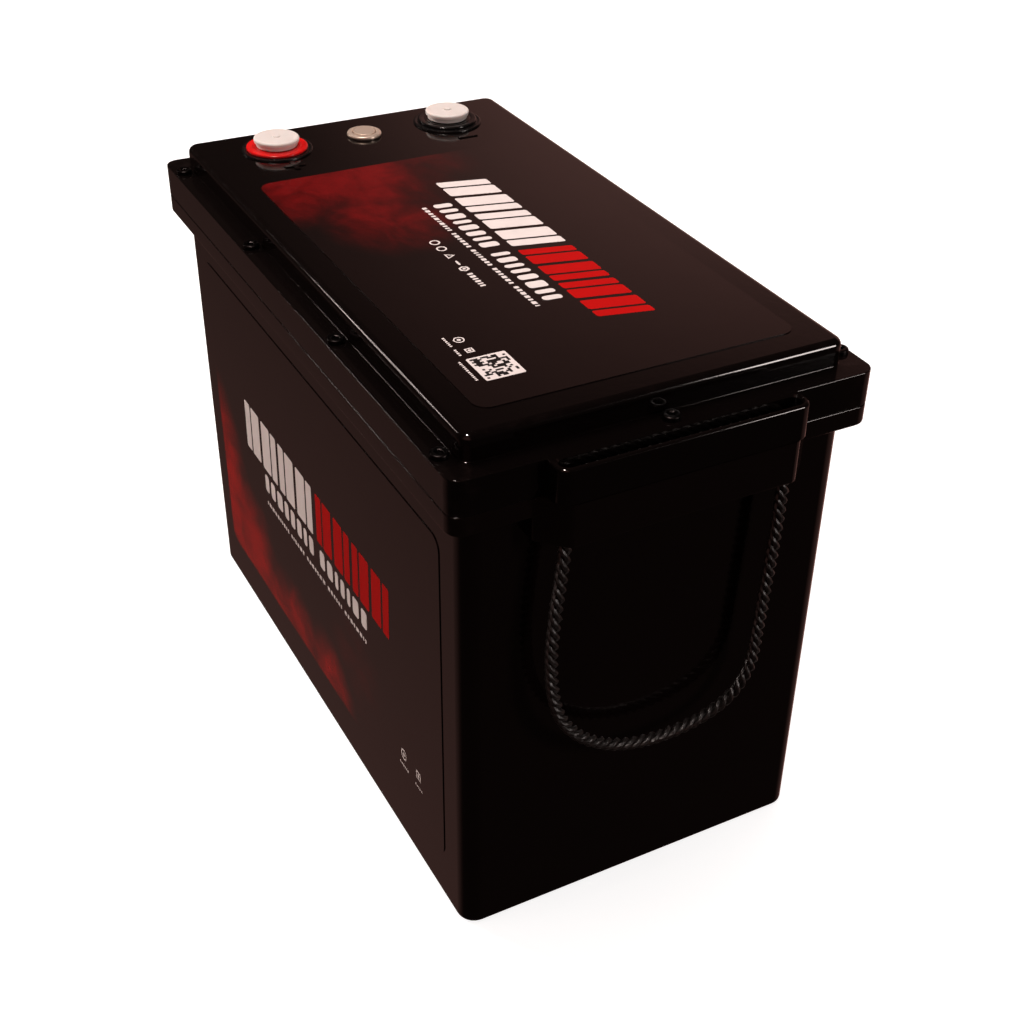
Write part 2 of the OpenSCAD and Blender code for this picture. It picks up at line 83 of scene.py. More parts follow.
# Heights: top of the case's collar, underside of the lid's skirt, the ledge, and the lid's top
COLLAR_Z = 240.6
SKIRT_Z = 241.0
LEDGE_Z = 257.4
TOP_Z = 269.4

FINISH_PREFIX = "finish_"
FINE_LINES = 5200.0  # how close turning marks and woven threads lie
SCREWS = [(x, side * 96.25) for x in (-158.5, -54.0, 54.0, 158.5) for side in (-1, 1)] + [
    (-173.75, 0.0),
    (173.75, 0.0),
]

# Rope: distance of the loop from the middle, its two holes, and the run between them
ROPE_X = 184.0
ROPE_Y = 53.5
RUN_Z = 250.5
BEND_R = 7.5
HOLE_JOIN_Z = 238.0
HOLES = [(end * ROPE_X, side * ROPE_Y) for end in (-1, 1) for side in (-1, 1)]
LUG_Z = 220.0
PIVOT_Z = 213.0
LOOP = [
    (-53.5, 213), (-55, 200), (-57, 180), (-58, 160), (-56, 138), (-50, 121), (-38, 107),
    (-21, 97), (0, 93), (22, 95), (39, 103), (48, 118), (50, 138), (51, 155), (52, 172),
    (53, 192), (53.5, 213),
]


# ---------------------------------------------------------------- settings


def colour_setting(name, description, default):
    return FloatVectorProperty(
        name=name, description=description, default=default, subtype="COLOR", min=0, max=1
    )


def size_setting(name, description, default):
    return FloatProperty(
        name=name, description=description, default=default, min=0, unit="LENGTH", precision=4
    )


def share_setting(name, description, default):
    return FloatProperty(
        name=name, description=description, default=default, min=0, max=1, subtype="FACTOR"
    )


def power_setting(name, description, default):
    return FloatProperty(name=name, description=description, default=default, min=0, unit="POWER")


class BatteryBody(bpy.types.PropertyGroup):
    case_colour: colour_setting("Case colour", "Colour of the case plastic", (0.0042, 0.0024, 0.0022))
    lid_colour: colour_setting("Lid colour", "Colour of the lid plastic", (0.0024, 0.0015, 0.0014))
    gloss: share_setting("Plastic roughness", "Roughness of the case and lid", 0.09)
    foot_fillet: size_setting("Foot fillet", "Rounding round the bottom of the case", 0.0025)
    top_fillet: size_setting("Top fillet", "Rounding of the lid's raised edge", 0.0035)
    ledge_fillet: size_setting("Ledge fillet", "Rounding of the ledge that the screws sit on", 0.0004)


class BatteryRope(bpy.types.PropertyGroup):
    thickness: size_setting("Rope thickness", "Diameter over the three strands", 0.006)
    lay: size_setting("Lay length", "Length of rope in which a strand goes round once", 0.0145)
    yarns: IntProperty(name="Yarns", description="Yarns seen round each strand", default=6, min=3)
    colour: colour_setting("Rope colour", "Colour of the rope fibre", (0.010, 0.0085, 0.0078))


class BatteryPrint(bpy.types.PropertyGroup):
    film: colour_setting("Film colour", "Ground colour of both labels", (0.0048, 0.0026, 0.0024))
    top_smoke: colour_setting("Top smoke", "Colour of the clouds on the top label", (0.140, 0.0030, 0.0036))
    front_smoke: colour_setting(
        "Front smoke", "Colour of the clouds on the front label", (0.35, 0.0020, 0.0015)
    )
    white_ink: colour_setting("White ink", "Colour of the white printing", (0.74, 0.68, 0.66))
    red_ink: colour_setting("Red ink", "Colour of the red printing", (0.44, 0.003, 0.003))
    ink: size_setting("Ink thickness", "How far the ink stands off the film", 0.00005)


class BatteryHardware(bpy.types.PropertyGroup):
    cap_colour: colour_setting("Cap colour", "Colour of the terminal caps", (0.70, 0.65, 0.62))
    ring_colour: colour_setting("Positive ring", "Colour of the positive ring", (0.60, 0.008, 0.008))
    steps: IntProperty(name="Steps round", description="Steps round a turned piece", default=72, min=24)


class BatteryStage(bpy.types.PropertyGroup):
    floor_colour: colour_setting("Floor colour", "Colour of the floor in the light", (0.42, 0.42, 0.42))
    floor_glow: share_setting("Floor glow", "How pale the floor is without any light", 0.84)
    key_power: power_setting("Key light", "Power of the front left light", 30)
    glint_power: power_setting("Glint", "Power of the glint on the long edges", 5)
    spark_power: power_setting("Spark", "Power of the glint on small round parts", 20)
    top_power: power_setting("Top light", "Power of the overhead light", 46)
    front_power: power_setting("Front light", "Power of the soft front light", 8)
    rim_power: power_setting("End light", "Power of the light beyond the right end", 9)


SETTINGS = {
    "battery_body": BatteryBody,
    "battery_rope": BatteryRope,
    "battery_print": BatteryPrint,
    "battery_hardware": BatteryHardware,
    "battery_stage": BatteryStage,
}


# ---------------------------------------------------------------- shader sums


class Signal:
    """The value of one socket, so that shader sums read as ordinary ones."""

    def __init__(self, finish, socket):
        self.finish = finish
        self.socket = socket

    def sum_of(self, operation, first, second=0.0):
        return self.finish.node("Math", {"operation": operation}, {0: first, 1: second})

    def __add__(self, other):
        return self.sum_of("ADD", self, other)

    def __radd__(self, other):
        return self.sum_of("ADD", other, self)

    def __sub__(self, other):
        return self.sum_of("SUBTRACT", self, other)

    def __rsub__(self, other):
        return self.sum_of("SUBTRACT", other, self)

    def __mul__(self, other):
        return self.sum_of("MULTIPLY", self, other)

    def __rmul__(self, other):
        return self.sum_of("MULTIPLY", other, self)

    def __truediv__(self, other):
        return self.sum_of("DIVIDE", self, other)

    def __pow__(self, other):
        return self.sum_of("POWER", self, other)

    def __abs__(self):
        return self.sum_of("ABSOLUTE", self)

    def most(self, other):
        return self.sum_of("MAXIMUM", self, other)

    def sine(self):
        return self.sum_of("SINE", self)

    def step(self, low, high):
        """0 below low and 1 above high, with a soft change between."""
        return self.finish.node(
            "MapRange",
            {"interpolation_type": "SMOOTHSTEP"},
            {"Value": self, "From Min": low, "From Max": high},
        )


class Tree:
    """A node tree and the ways to add to it."""

    def __init__(self, owner):
        owner.use_nodes = True
        self.nodes = owner.node_tree.nodes
        self.links = owner.node_tree.links

    def feed(self, socket, value):
        if isinstance(value, Signal):
            self.links.new(value.socket, socket)
        else:
            socket.default_value = value

    def node(self, kind, settings=None, values=None, output=0):
        made = self.nodes.new("ShaderNode" + kind)
        for name, value in (settings or {}).items():
            if name == "stops":
                ramp = made.color_ramp.elements
                while len(ramp) < len(value):
                    ramp.new(1.0)
                for stop, (place, colour) in zip(ramp, value):
                    stop.position = place
                    stop.color = opaque(colour)
            else:
                setattr(made, name, value)
        for key, value in (values or {}).items():
            self.feed(made.inputs[key], value)
        return Signal(self, made.outputs[output]) if made.outputs else made

    def place(self):
        """Where the surface is, in metres."""
        return self.node("TexCoord", output="Object")

    def axes(self, where=None):
        where = where or self.place()
        parts = self.nodes.new("ShaderNodeSeparateXYZ")
        self.links.new(where.socket, parts.inputs[0])
        return [Signal(self, parts.outputs[i]) for i in range(3)]

    def scaled(self, stretch, where=None):
        return self.node(
            "VectorMath", {"operation": "MULTIPLY"}, {0: where or self.place(), 1: stretch}
        )

    def noise(self, scale, detail=2.0, stretch=None, where=None, rough=0.5, warp=0.0):
        where = where or self.place()
        if stretch:
            where = self.scaled(stretch, where)
        return self.node(
            "TexNoise",
            None,
            {"Vector": where, "Scale": scale, "Detail": detail, "Roughness": rough, "Distortion": warp},
        )

    def cells(self, scale):
        return self.node("TexVoronoi", None, {"Vector": self.place(), "Scale": scale}, "Distance")

    def mix(self, first, second, share):
        return self.node("Mix", {"data_type": "RGBA"}, {0: share, 6: opaque(first), 7: opaque(second)}, 2)


class Finish(Tree):
    """One procedural material."""

    def __init__(self, name, constants=None):
        self.material = bpy.data.materials.new(FINISH_PREFIX + name)
        super().__init__(self.material)
        self.shader = next(n for n in self.nodes if n.type == "BSDF_PRINCIPLED")
        for socket, value in (constants or {}).items():
            self.shader.inputs[socket].default_value = value
        self.normal = None

    def colour(self, value):
        self.feed(self.shader.inputs["Base Color"], opaque(value))

    def roughness(self, value):
        self.feed(self.shader.inputs["Roughness"], value)

    def bump(self, height, distance, strength=1.0):
        values = {"Height": height, "Distance": distance, "Strength": strength}
        if self.normal:
            values["Normal"] = self.normal
        self.normal = self.node("Bump", None, values)
        self.feed(self.shader.inputs["Normal"], self.normal)


def opaque(colour):
    """A colour as a socket takes it; a link stays as it is."""
    if isinstance(colour, Signal):
        return colour
    return (*tuple(colour)[:3], 1.0)


def shade(colour, factor):
    return tuple(min(1.0, part * factor) for part in tuple(colour)[:3])


# ---------------------------------------------------------------- finishes


def body_plastic(name, colour, rough, corners, top):
    """Glossy moulded plastic with faint flow marks, handling smears and rubbed corners."""
    made = Finish(name, {"IOR": 1.46})
    x, y, z = made.axes()
    smear = made.noise(11, detail=5, rough=0.6)
    flow = made.noise(7, detail=3, stretch=(1, 1, 3.5), warp=0.6)
    speck = made.noise(1500, detail=1)
    half_x, half_y = corners
    near_end = abs(x).step(half_x - 0.0035, half_x)
    near_side = abs(y).step(half_y - 0.0035, half_y)
    upright = near_end * near_side
    rim = z.step(top - 0.0025, top) * near_end.most(near_side)
    patch = made.noise(140, detail=4, rough=0.65).step(0.46, 0.66)
    rub = upright.most(rim) * patch
    ground = made.mix(shade(colour, 0.86), shade(colour, 1.18), flow)
    made.colour(made.mix(ground, shade(colour, 3.2), rub * 0.55))
    hair = made.noise(60, detail=2, stretch=(1, 1, 24)).step(0.62, 0.70)
    made.roughness(rough + (smear - 0.5) * 0.05 + rub * 0.05 + hair * 0.02 + (speck - 0.5) * 0.03)
    made.bump(made.noise(260, detail=2), 0.000012)
    made.bump(speck, 0.000005)
    return made.material


def case_plastic(scene):
    body = scene.battery_body
    return body_plastic("case_plastic", body.case_colour, body.gloss, (0.1725, 0.0934), 0.25)


def lid_plastic(scene):
    body = scene.battery_body
    return body_plastic("lid_plastic", body.lid_colour, body.gloss, (0.1686, 0.0912), 0.2694)


def cloud(across, up, centre, reach):
    """A soft oval patch round a centre, 1 in the middle and 0 at its reach."""
    far = ((across - centre[0]) / reach[0]) ** 2.0 + ((up - centre[1]) / reach[1]) ** 2.0
    return 1 - (far ** 0.5).step(0.15, 1.0)


def label_film(scene, name, colour, across_axis, up_axis, stretch, clouds):
    """Printed film: dark ground with clouds of red, a fine print screen and slight waves."""
    colours = scene.battery_print
    made = Finish(name, {"IOR": 1.5})
    where = made.place()
    axes = made.axes(where)
    across, up = axes[across_axis], axes[up_axis]
    billow = made.noise(11, detail=5, rough=0.55, warp=0.9, stretch=stretch, where=where)
    wisp = made.noise(30, detail=4, rough=0.55, warp=1.2, stretch=stretch, where=where)
    spread = None
    for centre, reach, weight in clouds:
        one = cloud(across, up, centre, reach) * weight
        spread = one if spread is None else spread.most(one)
    amount = (spread * (0.30 + billow * 1.15 + (wisp - 0.5) * 0.6)).step(0.10, 0.95)
    ember = (billow * 0.6 + wisp * 0.5).step(0.40, 0.72)
    smoke = made.mix(shade(colour, 0.38), colour, ember)
    film = made.mix(shade(colours.film, 0.92), shade(colours.film, 1.12), billow)
    made.colour(made.mix(film, smoke, amount))
    screen = made.noise(2600, detail=0)
    made.roughness(0.20 + (screen - 0.5) * 0.05 + (wisp - 0.5) * 0.05)
    made.bump(made.noise(34, detail=1), 0.00003)
    made.bump(screen, 0.000003)
    return made.material


def top_film(scene):
    clouds = [((-0.098, -0.070), (0.085, 0.075), 1.0), ((-0.080, -0.025), (0.075, 0.065), 0.90),
              ((-0.030, -0.034), (0.060, 0.048), 0.80), ((-0.090, 0.010), (0.050, 0.050), 0.45)]
    return label_film(scene, "top_film", scene.battery_print.top_smoke, 0, 1, (1, 1.5, 1), clouds)


def front_film(scene):
    clouds = [((-0.156, 0.078), (0.065, 0.085), 1.0), ((-0.115, 0.045), (0.075, 0.065), 0.95),
              ((-0.050, 0.030), (0.080, 0.050), 0.90), ((0.005, 0.030), (0.055, 0.045), 0.70),
              ((0.050, 0.070), (0.070, 0.070), 0.22)]
    return label_film(scene, "front_film", scene.battery_print.front_smoke, 0, 2, (1, 1, 1.4), clouds)


def ink(name, colour, rough=0.34):
    """Screen-printed ink: slightly uneven, with a fine stipple."""
    made = Finish(name, {"IOR": 1.48, "Specular IOR Level": 0.1})
    patch = made.noise(120, detail=4)
    stipple = made.noise(3000, detail=1)
    made.colour(made.mix(shade(colour, 0.90), shade(colour, 1.05), patch))
    made.roughness(rough + (patch - 0.5) * 0.1)
    made.bump(stipple, 0.000006)
    return made.material


def white_ink(scene):
    return ink("white_ink", scene.battery_print.white_ink)


def red_ink(scene):
    return ink("red_ink", scene.battery_print.red_ink)


def dark_ink(scene):
    return ink("dark_ink", (0.012, 0.010, 0.010))


def rope_fibre(scene):
    """Glossy twisted fibre: fine filaments, slight fuzz and a little dust in the valleys."""
    colour = scene.battery_rope.colour
    made = Finish("rope_fibre", {"IOR": 1.5, "Sheen Weight": 0.12, "Sheen Roughness": 0.4})
    filament = made.noise(900, detail=3, stretch=(1, 1, 0.25))
    tone = made.noise(70, detail=3)
    dust = made.noise(420, detail=4).step(0.58, 0.76)
    ground = made.mix(shade(colour, 0.6), shade(colour, 1.8), filament)
    made.colour(made.mix(ground, (0.075, 0.060, 0.054), dust * 0.35))
    made.roughness(0.24 + filament * 0.20 + tone * 0.10 + dust * 0.15)
    made.bump(filament, 0.00010)
    return made.material


def rubber(name, colour, rough=0.42):
    made = Finish(name, {"IOR": 1.5, "Specular IOR Level": 0.3})
    mottle = made.noise(180, detail=4)
    grain = made.noise(1300, detail=2)
    made.colour(made.mix(shade(colour, 0.75), shade(colour, 1.35), mottle))
    made.roughness(rough + (mottle - 0.5) * 0.16)
    made.bump(grain, 0.00002)
    return made.material


def moulding(name, colour, rough, coat=0.0, depth=0.00002):
    """A small moulded part: slight tone changes, faint tool marks and fine texture."""
    made = Finish(
        name, {"IOR": 1.49, "Specular IOR Level": 0.3, "Coat Weight": coat, "Coat Roughness": 0.08}
    )
    tone = made.noise(55, detail=4)
    grain = made.noise(900, detail=2)
    smear = made.noise(260, detail=3, stretch=(1, 4, 1))
    made.colour(made.mix(shade(colour, 0.90), shade(colour, 1.08), tone))
    made.roughness(rough + (smear - 0.5) * 0.12 + (grain - 0.5) * 0.06)
    made.bump(grain, depth)
    return made.material


def cap_plastic(scene):
    """Natural polyethylene: milky, with rings left by turning the mould."""
    colour = scene.battery_hardware.cap_colour
    made = Finish(
        "cap_plastic",
        {
            "IOR": 1.48,
            "Subsurface Weight": 0.25,
            "Subsurface Scale": 0.004,
            "Subsurface Radius": (1.0, 0.7, 0.6),
        },
    )
    x, y = made.axes()[:2]
    side = abs(y) - 0.050
    far = ((x - ROW_X * MM) ** 2.0 + side ** 2.0) ** 0.5
    rings = (far * FINE_LINES).sine()
    tone = made.noise(160, detail=4)
    scuff = made.noise(420, detail=4, rough=0.7).step(0.60, 0.74)
    made.colour(made.mix(shade(colour, 0.90), shade(colour, 1.06), tone * (1 - scuff * 0.6)))
    made.roughness(0.30 + tone * 0.12 + scuff * 0.14)
    made.bump(rings * 0.5 + tone, 0.00002)
    return made.material


def metal(name, colour, rough, stretch=(1, 1, 1), scale=500, depth=0.00001, tarnish=0.12):
    """Bare or plated metal: drawn or turned grain, finger marks and light tarnish."""
    made = Finish(name, {"Metallic": 1.0})
    grain = made.noise(scale, detail=4, stretch=stretch)
    mark = made.noise(90, detail=5, rough=0.65)
    tint = made.mix(colour, shade(colour, 1.10), grain)
    dull = [part * share for part, share in zip(colour, (0.62, 0.54, 0.44))]
    made.colour(made.mix(tint, dull, mark.step(0.5, 0.8) * tarnish))
    made.roughness(rough + (grain - 0.5) * 0.14 + mark.step(0.45, 0.75) * 0.10)
    made.bump(grain, depth)
    return made.material


def turned_steel(scene):
    """Turned stainless steel: fine rings about the button's axis, and a painted dark reflection low on its
    side.
    """
    made = Finish("turned_steel", {"Metallic": 0.6})
    x, y, z = made.axes()
    # Below the button's top the steel is painted nearly black: a painted reflection of the dark lid on the
    # bezel's side.
    painted_dark_reflection = 1 - z.step(0.2698, 0.2708)
    far = ((x - ROW_X * MM) ** 2.0 + y ** 2.0) ** 0.5
    line = made.node(
        "TexNoise", {"noise_dimensions": "1D"}, {"W": far * FINE_LINES, "Scale": 1.0, "Detail": 3.0}
    )
    mark = made.noise(260, detail=4).step(0.5, 0.75)
    bright = made.mix((0.70, 0.56, 0.45), (0.82, 0.67, 0.55), line)
    # Mixes the painted dark reflection into the steel's colour.
    made.colour(made.mix(bright, (0.05, 0.035, 0.03), painted_dark_reflection * 0.9))
    made.roughness(0.26 + line * 0.12 + mark * 0.10)
    made.bump(line, 0.000012)
    return made.material


def cell_wrap(scene):
    """Blue shrink film on an aluminium can: gloss, drawn creases and small bubbles."""
    made = Finish("cell_wrap", {"IOR": 1.5})
    crease = made.noise(38, detail=5, stretch=(1, 1, 0.3), warp=0.7)
    bubble = made.cells(240).step(0.05, 0.22)
    made.colour(made.mix((0.012, 0.060, 0.210), (0.020, 0.095, 0.300), crease))
    made.roughness(0.22 + (crease - 0.5) * 0.2 + (1 - bubble) * 0.05)
    made.bump(crease, 0.0002)
    made.bump(bubble, 0.00003)
    return made.material


def foam(scene):
    """Closed-cell foam: small round cells cut open at the surface, with painted shade in their pits."""
    made = Finish("foam")
    cell = made.cells(900)
    tone = made.noise(60, detail=3)
    pit = cell.step(0.15, 0.55)
    # The colour darkens towards the bottom of each pit: painted shade in the hollows, following the bump.
    made.colour(made.mix((0.012, 0.012, 0.013), (0.040, 0.040, 0.042), pit * (0.6 + tone * 0.5)))
    made.roughness(0.80 + tone * 0.15)
    made.bump(pit, 0.0003)
    return made.material


def laminate(scene):
    """Woven glass laminate: a crossed weave under amber resin."""
    made = Finish("laminate", {"IOR": 1.5})
    x, y, z = made.axes()
    warp = ((x + y) * FINE_LINES).sine()
    weft = (z * FINE_LINES).sine()
    weave = warp * weft
    tone = made.noise(30, detail=3)
    made.colour(made.mix((0.36, 0.30, 0.12), (0.52, 0.46, 0.22), weave * 0.3 + tone * 0.7))
    made.roughness(0.38 + weave * 0.06 + tone * 0.08)
    made.bump(weave, 0.00006)
    return made.material


def circuit_board(scene):
    """Green mask over copper tracks, with tinned pads."""
    made = Finish("circuit_board", {"IOR": 1.52})
    y, z = made.axes()[1:]
    board = made.node("CombineXYZ", None, {0: y, 1: z})
    black, white = (0, 0, 0, 1), (1, 1, 1, 1)
    lane = made.node(
        "TexBrick",
        {"offset": 0.5},
        {"Vector": board, "Scale": 120.0, "Mortar Size": 0.03,
         "Color1": black, "Color2": black, "Mortar": white},
    )
    pads = 1 - made.cells(210).step(0.16, 0.20)
    tone = made.noise(40, detail=3)
    mask = made.mix((0.006, 0.055, 0.022), (0.012, 0.105, 0.040), lane)
    made.colour(made.mix(mask, (0.55, 0.53, 0.48), pads))
    made.roughness(0.28 + tone * 0.1 + pads * 0.1)
    made.bump(lane * 0.5, 0.00004)
    made.bump(pads, 0.00005)
    return made.material


FINISHES = {
    "case_plastic": case_plastic,
    "lid_plastic": lid_plastic,
    "top_film": top_film,
    "front_film": front_film,
    "white_ink": white_ink,
    "red_ink": red_ink,
    "dark_ink": dark_ink,
    "rope_fibre": rope_fibre,
    "cap_plastic": cap_plastic,
    "turned_steel": turned_steel,
    "cell_wrap": cell_wrap,
    "foam": foam,
    "laminate": laminate,
    "circuit_board": circuit_board,
    "seal_rubber": lambda scene: rubber("seal_rubber", (0.005, 0.0045, 0.0045), 0.26),
    "black_plastic": lambda scene: moulding("black_plastic", (0.005, 0.0045, 0.0045), 0.20, coat=0.1),
    "red_plastic": lambda scene: moulding("red_plastic", scene.battery_hardware.ring_colour, 0.22, coat=0.1),
    "white_plastic": lambda scene: moulding("white_plastic", (0.78, 0.77, 0.72), 0.35),
    "blue_wire": lambda scene: rubber("blue_wire", (0.020, 0.070, 0.330), 0.38),
    "black_wire": lambda scene: rubber("black_wire", (0.014, 0.014, 0.014), 0.40),
    "red_wire": lambda scene: rubber("red_wire", (0.360, 0.014, 0.016), 0.38),
    "black_steel": lambda scene: metal("black_steel", (0.014, 0.012, 0.012), 0.34, scale=700, depth=0.00002),
    "nickel": lambda scene: metal("nickel", (0.66, 0.62, 0.56), 0.16, stretch=(1, 1, 6)),
    "zinc": lambda scene: metal("zinc", (0.58, 0.59, 0.61), 0.30, scale=260, depth=0.00002),
    "aluminium": lambda scene: metal("aluminium", (0.76, 0.77, 0.79), 0.28, stretch=(8, 1, 1)),
    "copper": lambda scene: metal("copper", (0.74, 0.36, 0.22), 0.26, stretch=(6, 1, 1), tarnish=0.4),
    "brass": lambda scene: metal("brass", (0.72, 0.52, 0.20), 0.24, stretch=(1, 1, 6)),
}


def finish(context, name):
    """The material of that name, made the first time that it is asked for."""
    return bpy.data.materials.get(FINISH_PREFIX + name) or FINISHES[name](context.scene)


# ---------------------------------------------------------------- meshes


def new_piece(context, name, mesh, material, body=None):
    """Puts a mesh in the scene under a name, with its finish, on a body of the frame."""
    piece = bpy.data.objects.new(name, mesh)
    context.scene.collection.objects.link(piece)
    if material:
        mesh.materials.append(finish(context, material))
    if body:
        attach(piece, body)
    return piece


def mesh_of(name, shape):
    """Ends a bmesh: outward faces, in metres."""
    bmesh.ops.recalc_face_normals(shape, faces=shape.faces)
    bmesh.ops.scale(shape, vec=(MM, MM, MM), verts=shape.verts)
    mesh = bpy.data.meshes.new(name)
    shape.to_mesh(mesh)
    shape.free()
    return mesh


def smooth_by_angle(mesh, degrees=32):
    mesh.polygons.foreach_set("use_smooth", [True] * len(mesh.polygons))
    mesh.set_sharp_from_angle(angle=math.radians(degrees))
    mesh.update()


def settle(piece):
    """Makes the modifiers' result the piece's own mesh."""
    seen = piece.evaluated_get(bpy.context.evaluated_depsgraph_get())
    mesh = bpy.data.meshes.new_from_object(seen)
    piece.modifiers.clear()
    piece.data = mesh


def weigh_normals(piece):
    """Keeps large flat faces flat beside their rounded edges."""
    smooth_by_angle(piece.data)
    weigh = piece.modifiers.new("weigh", "WEIGHTED_NORMAL")
    weigh.keep_sharp = True
    weigh.weight = 60
    settle(piece)


def combine(piece, operation, meshes):
    """Joins solids to a piece, or cuts them from it, one mesh after the other."""
    for mesh in meshes:
        tool = bpy.data.objects.new("tool", mesh)
        bpy.context.scene.collection.objects.link(tool)
        cut = piece.modifiers.new("cut", "BOOLEAN")
        cut.operation = operation
        cut.solver = "EXACT"
        cut.object = tool
        settle(piece)
        bpy.data.objects.remove(tool)


def rounded(half_x, half_y, radius, z, steps=8, centre=(0.0, 0.0)):
    """A rounded rectangle at a height, anticlockwise."""
    ring = []
    for turn, (side_x, side_y) in enumerate(((1, 1), (-1, 1), (-1, -1), (1, -1))):
        for k in range(steps + 1):
            angle = math.radians(90 * (turn + k / steps))
            ring.append((
                centre[0] + side_x * (half_x - radius) + radius * math.cos(angle),
                centre[1] + side_y * (half_y - radius) + radius * math.sin(angle),
                z,
            ))
    return ring


def around(x, y, radius, steps, turn=0.0):
    """Plan points spaced evenly round a centre."""
    angles = [turn + 2 * math.pi * k / steps for k in range(steps)]
    return [(x + radius * math.cos(a), y + radius * math.sin(a)) for a in angles]


def circle(radius, z, steps, centre=(0.0, 0.0)):
    return [(x, y, z) for x, y in around(*centre, radius, steps)]


def hexagon(radius, z, steps, centre=(0.0, 0.0)):
    """A hexagon with as many points as a circle of those steps."""
    ring = []
    for k in range(steps):
        angle = 2 * math.pi * k / steps
        within = (angle % (math.pi / 3)) - math.pi / 6
        reach = radius * math.cos(math.pi / 6) / math.cos(within)
        ring.append((centre[0] + reach * math.cos(angle), centre[1] + reach * math.sin(angle), z))
    return ring


def loft(shape, rings, closed=False):
    """A skin through rings of equal length, capped at both ends, or joined end to start."""
    rows = [[shape.verts.new(p) for p in ring] for ring in rings]
    for low, high in zip(rows, rows[1:] + rows[:1] if closed else rows[1:]):
        for k in range(len(low)):
            n = (k + 1) % len(low)
            shape.faces.new((low[k], low[n], high[n], high[k]))
    if not closed:
        shape.faces.new(rows[0][::-1])
        shape.faces.new(rows[-1])


def quarter(start, end, bulge, steps=5):
    """Points of a quarter of an ellipse between two points, leaving along the bulge axis, 0 or 1."""
    points = []
    for k in range(steps + 1):
        angle = math.pi / 2 * k / steps
        s, c = math.sin(angle), 1 - math.cos(angle)
        share = (s, c) if bulge == 0 else (c, s)
        points.append(tuple(a + (b - a) * part for a, b, part in zip(start, end, share)))
    return points


def turned(shape, profile, centre, steps, closed=False):
    """A turned solid: a profile of (radius, height) round an upright axis."""
    loft(shape, [circle(r, z, steps, centre) for r, z in profile], closed)


def prism(shape, outline, z0, z1):
    """A straight prism on a plan outline."""
    loft(shape, [[(x, y, z) for x, y in outline] for z in (z0, z1)])


def soften(shape, offset, segments, chosen):
    """Rounds the edges whose two ends pass a test."""
    edges = [e for e in shape.edges if chosen([v.co for v in e.verts])]
    bmesh.ops.bevel(shape, geom=edges, offset=offset, segments=segments, affect="EDGES", profile=0.5)


def block_mesh(name, blocks):
    shape = bmesh.new()
    for (x0, x1), (y0, y1), (z0, z1) in blocks:
        prism(shape, [(x0, y0), (x1, y0), (x1, y1), (x0, y1)], z0, z1)
    return mesh_of(name, shape)


def turned_mesh(name, places, profile, steps=40):
    shape = bmesh.new()
    for place in places:
        turned(shape, profile, place, steps)
    return mesh_of(name, shape)


# ---------------------------------------------------------------- case


def eased(outline, points):
    """Ring stages from a nominal outline and (inset, height) points."""
    half_x, half_y, radius = outline
    return [(half_x - d, half_y - d, max(radius - d, 0.4), z) for d, z in points]


def shell(context, name, stages, additions, cuts, node):
    """A shell through rings of the outline, with solids joined to it and others cut out."""
    shape = bmesh.new()
    loft(shape, [rounded(*stage) for stage in stages])
    piece = new_piece(context, name, mesh_of(name, shape), None)
    combine(piece, "UNION", additions)
    combine(piece, "DIFFERENCE", cuts)
    piece.data.materials.clear()
    piece.data.materials.append(finish(context, node + "_plastic"))
    weigh_normals(piece)
    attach(piece, "battery")
    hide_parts(node)


def lower_lugs():
    """The two lugs under the collar, with rounded edges."""
    shape = bmesh.new()
    for side in (-1, 1):
        plan = [(171.0, -66.0), (178.9, -66.0), (190.5, -54.2), (190.5, 54.2), (178.9, 66.0), (171.0, 66.0)]
        prism(shape, [(side * x, y) for x, y in plan], LUG_Z, COLLAR_Z)

    def outer(ends):
        return max(abs(p.x) for p in ends) > 172

    soften(shape, 1.6, 4, lambda ends: abs(ends[0].z - ends[1].z) > 1 and abs(ends[0].x) > 172)
    soften(shape, 1.0, 3, lambda ends: outer(ends) and max(p.z for p in ends) < LUG_Z + 0.1)
    soften(shape, 0.35, 2, lambda ends: outer(ends) and min(p.z for p in ends) > COLLAR_Z - 0.1)
    return mesh_of("lower_lugs", shape)


class BATTERY_OT_case(bpy.types.Operator):
    """Build the hollow case with its collar, sealing lip and lower lugs"""

    bl_idname = "battery.case"
    bl_label = "Case"

    def execute(self, context):
        foot = context.scene.battery_body.foot_fillet / MM
        stages = eased(WALL, quarter((foot, 0.0), (0.0, foot), 0))
        stages += eased(WALL, [(0.0, 60.0), (0.0, 150.0), (0.0, 229.6)])
        stages += [(173.0, 93.9, 9.0, 230.6), (173.6, 94.5, 9.0, 231.0)]
        stages += eased(COLLAR, quarter((1.3, 231.0), (0.0, 232.3), 0, 3))
        stages += eased(COLLAR, quarter((0.0, COLLAR_Z - 0.4), (0.4, COLLAR_Z), 1, 3))
        stages += [(*WALL, COLLAR_Z), (*WALL, 249.3), (171.8, 92.7, 8.3, 250.0)]
        stages += [(169.2, 90.1, 5.7, 250.0), (168.5, 89.4, 5.0, 249.3)]
        stages += eased(INSIDE, quarter((0.0, 7.0), (2.0, 5.0), 1, 4))
        mouth = [(5.3, 218.5), (5.3, 219.4), (4.4, 220.7), (3.7, 221.6), (3.7, 245.0)]
        holes = turned_mesh("holes", HOLES, mouth, 48)
        bores = turned_mesh("bores", SCREWS, [(2.0, 233.0), (2.0, 242.0)], 24)
        shell(context, "case_shell", stages, [lower_lugs()], [holes, bores], "case")
        return {"FINISHED"}


# ---------------------------------------------------------------- lid


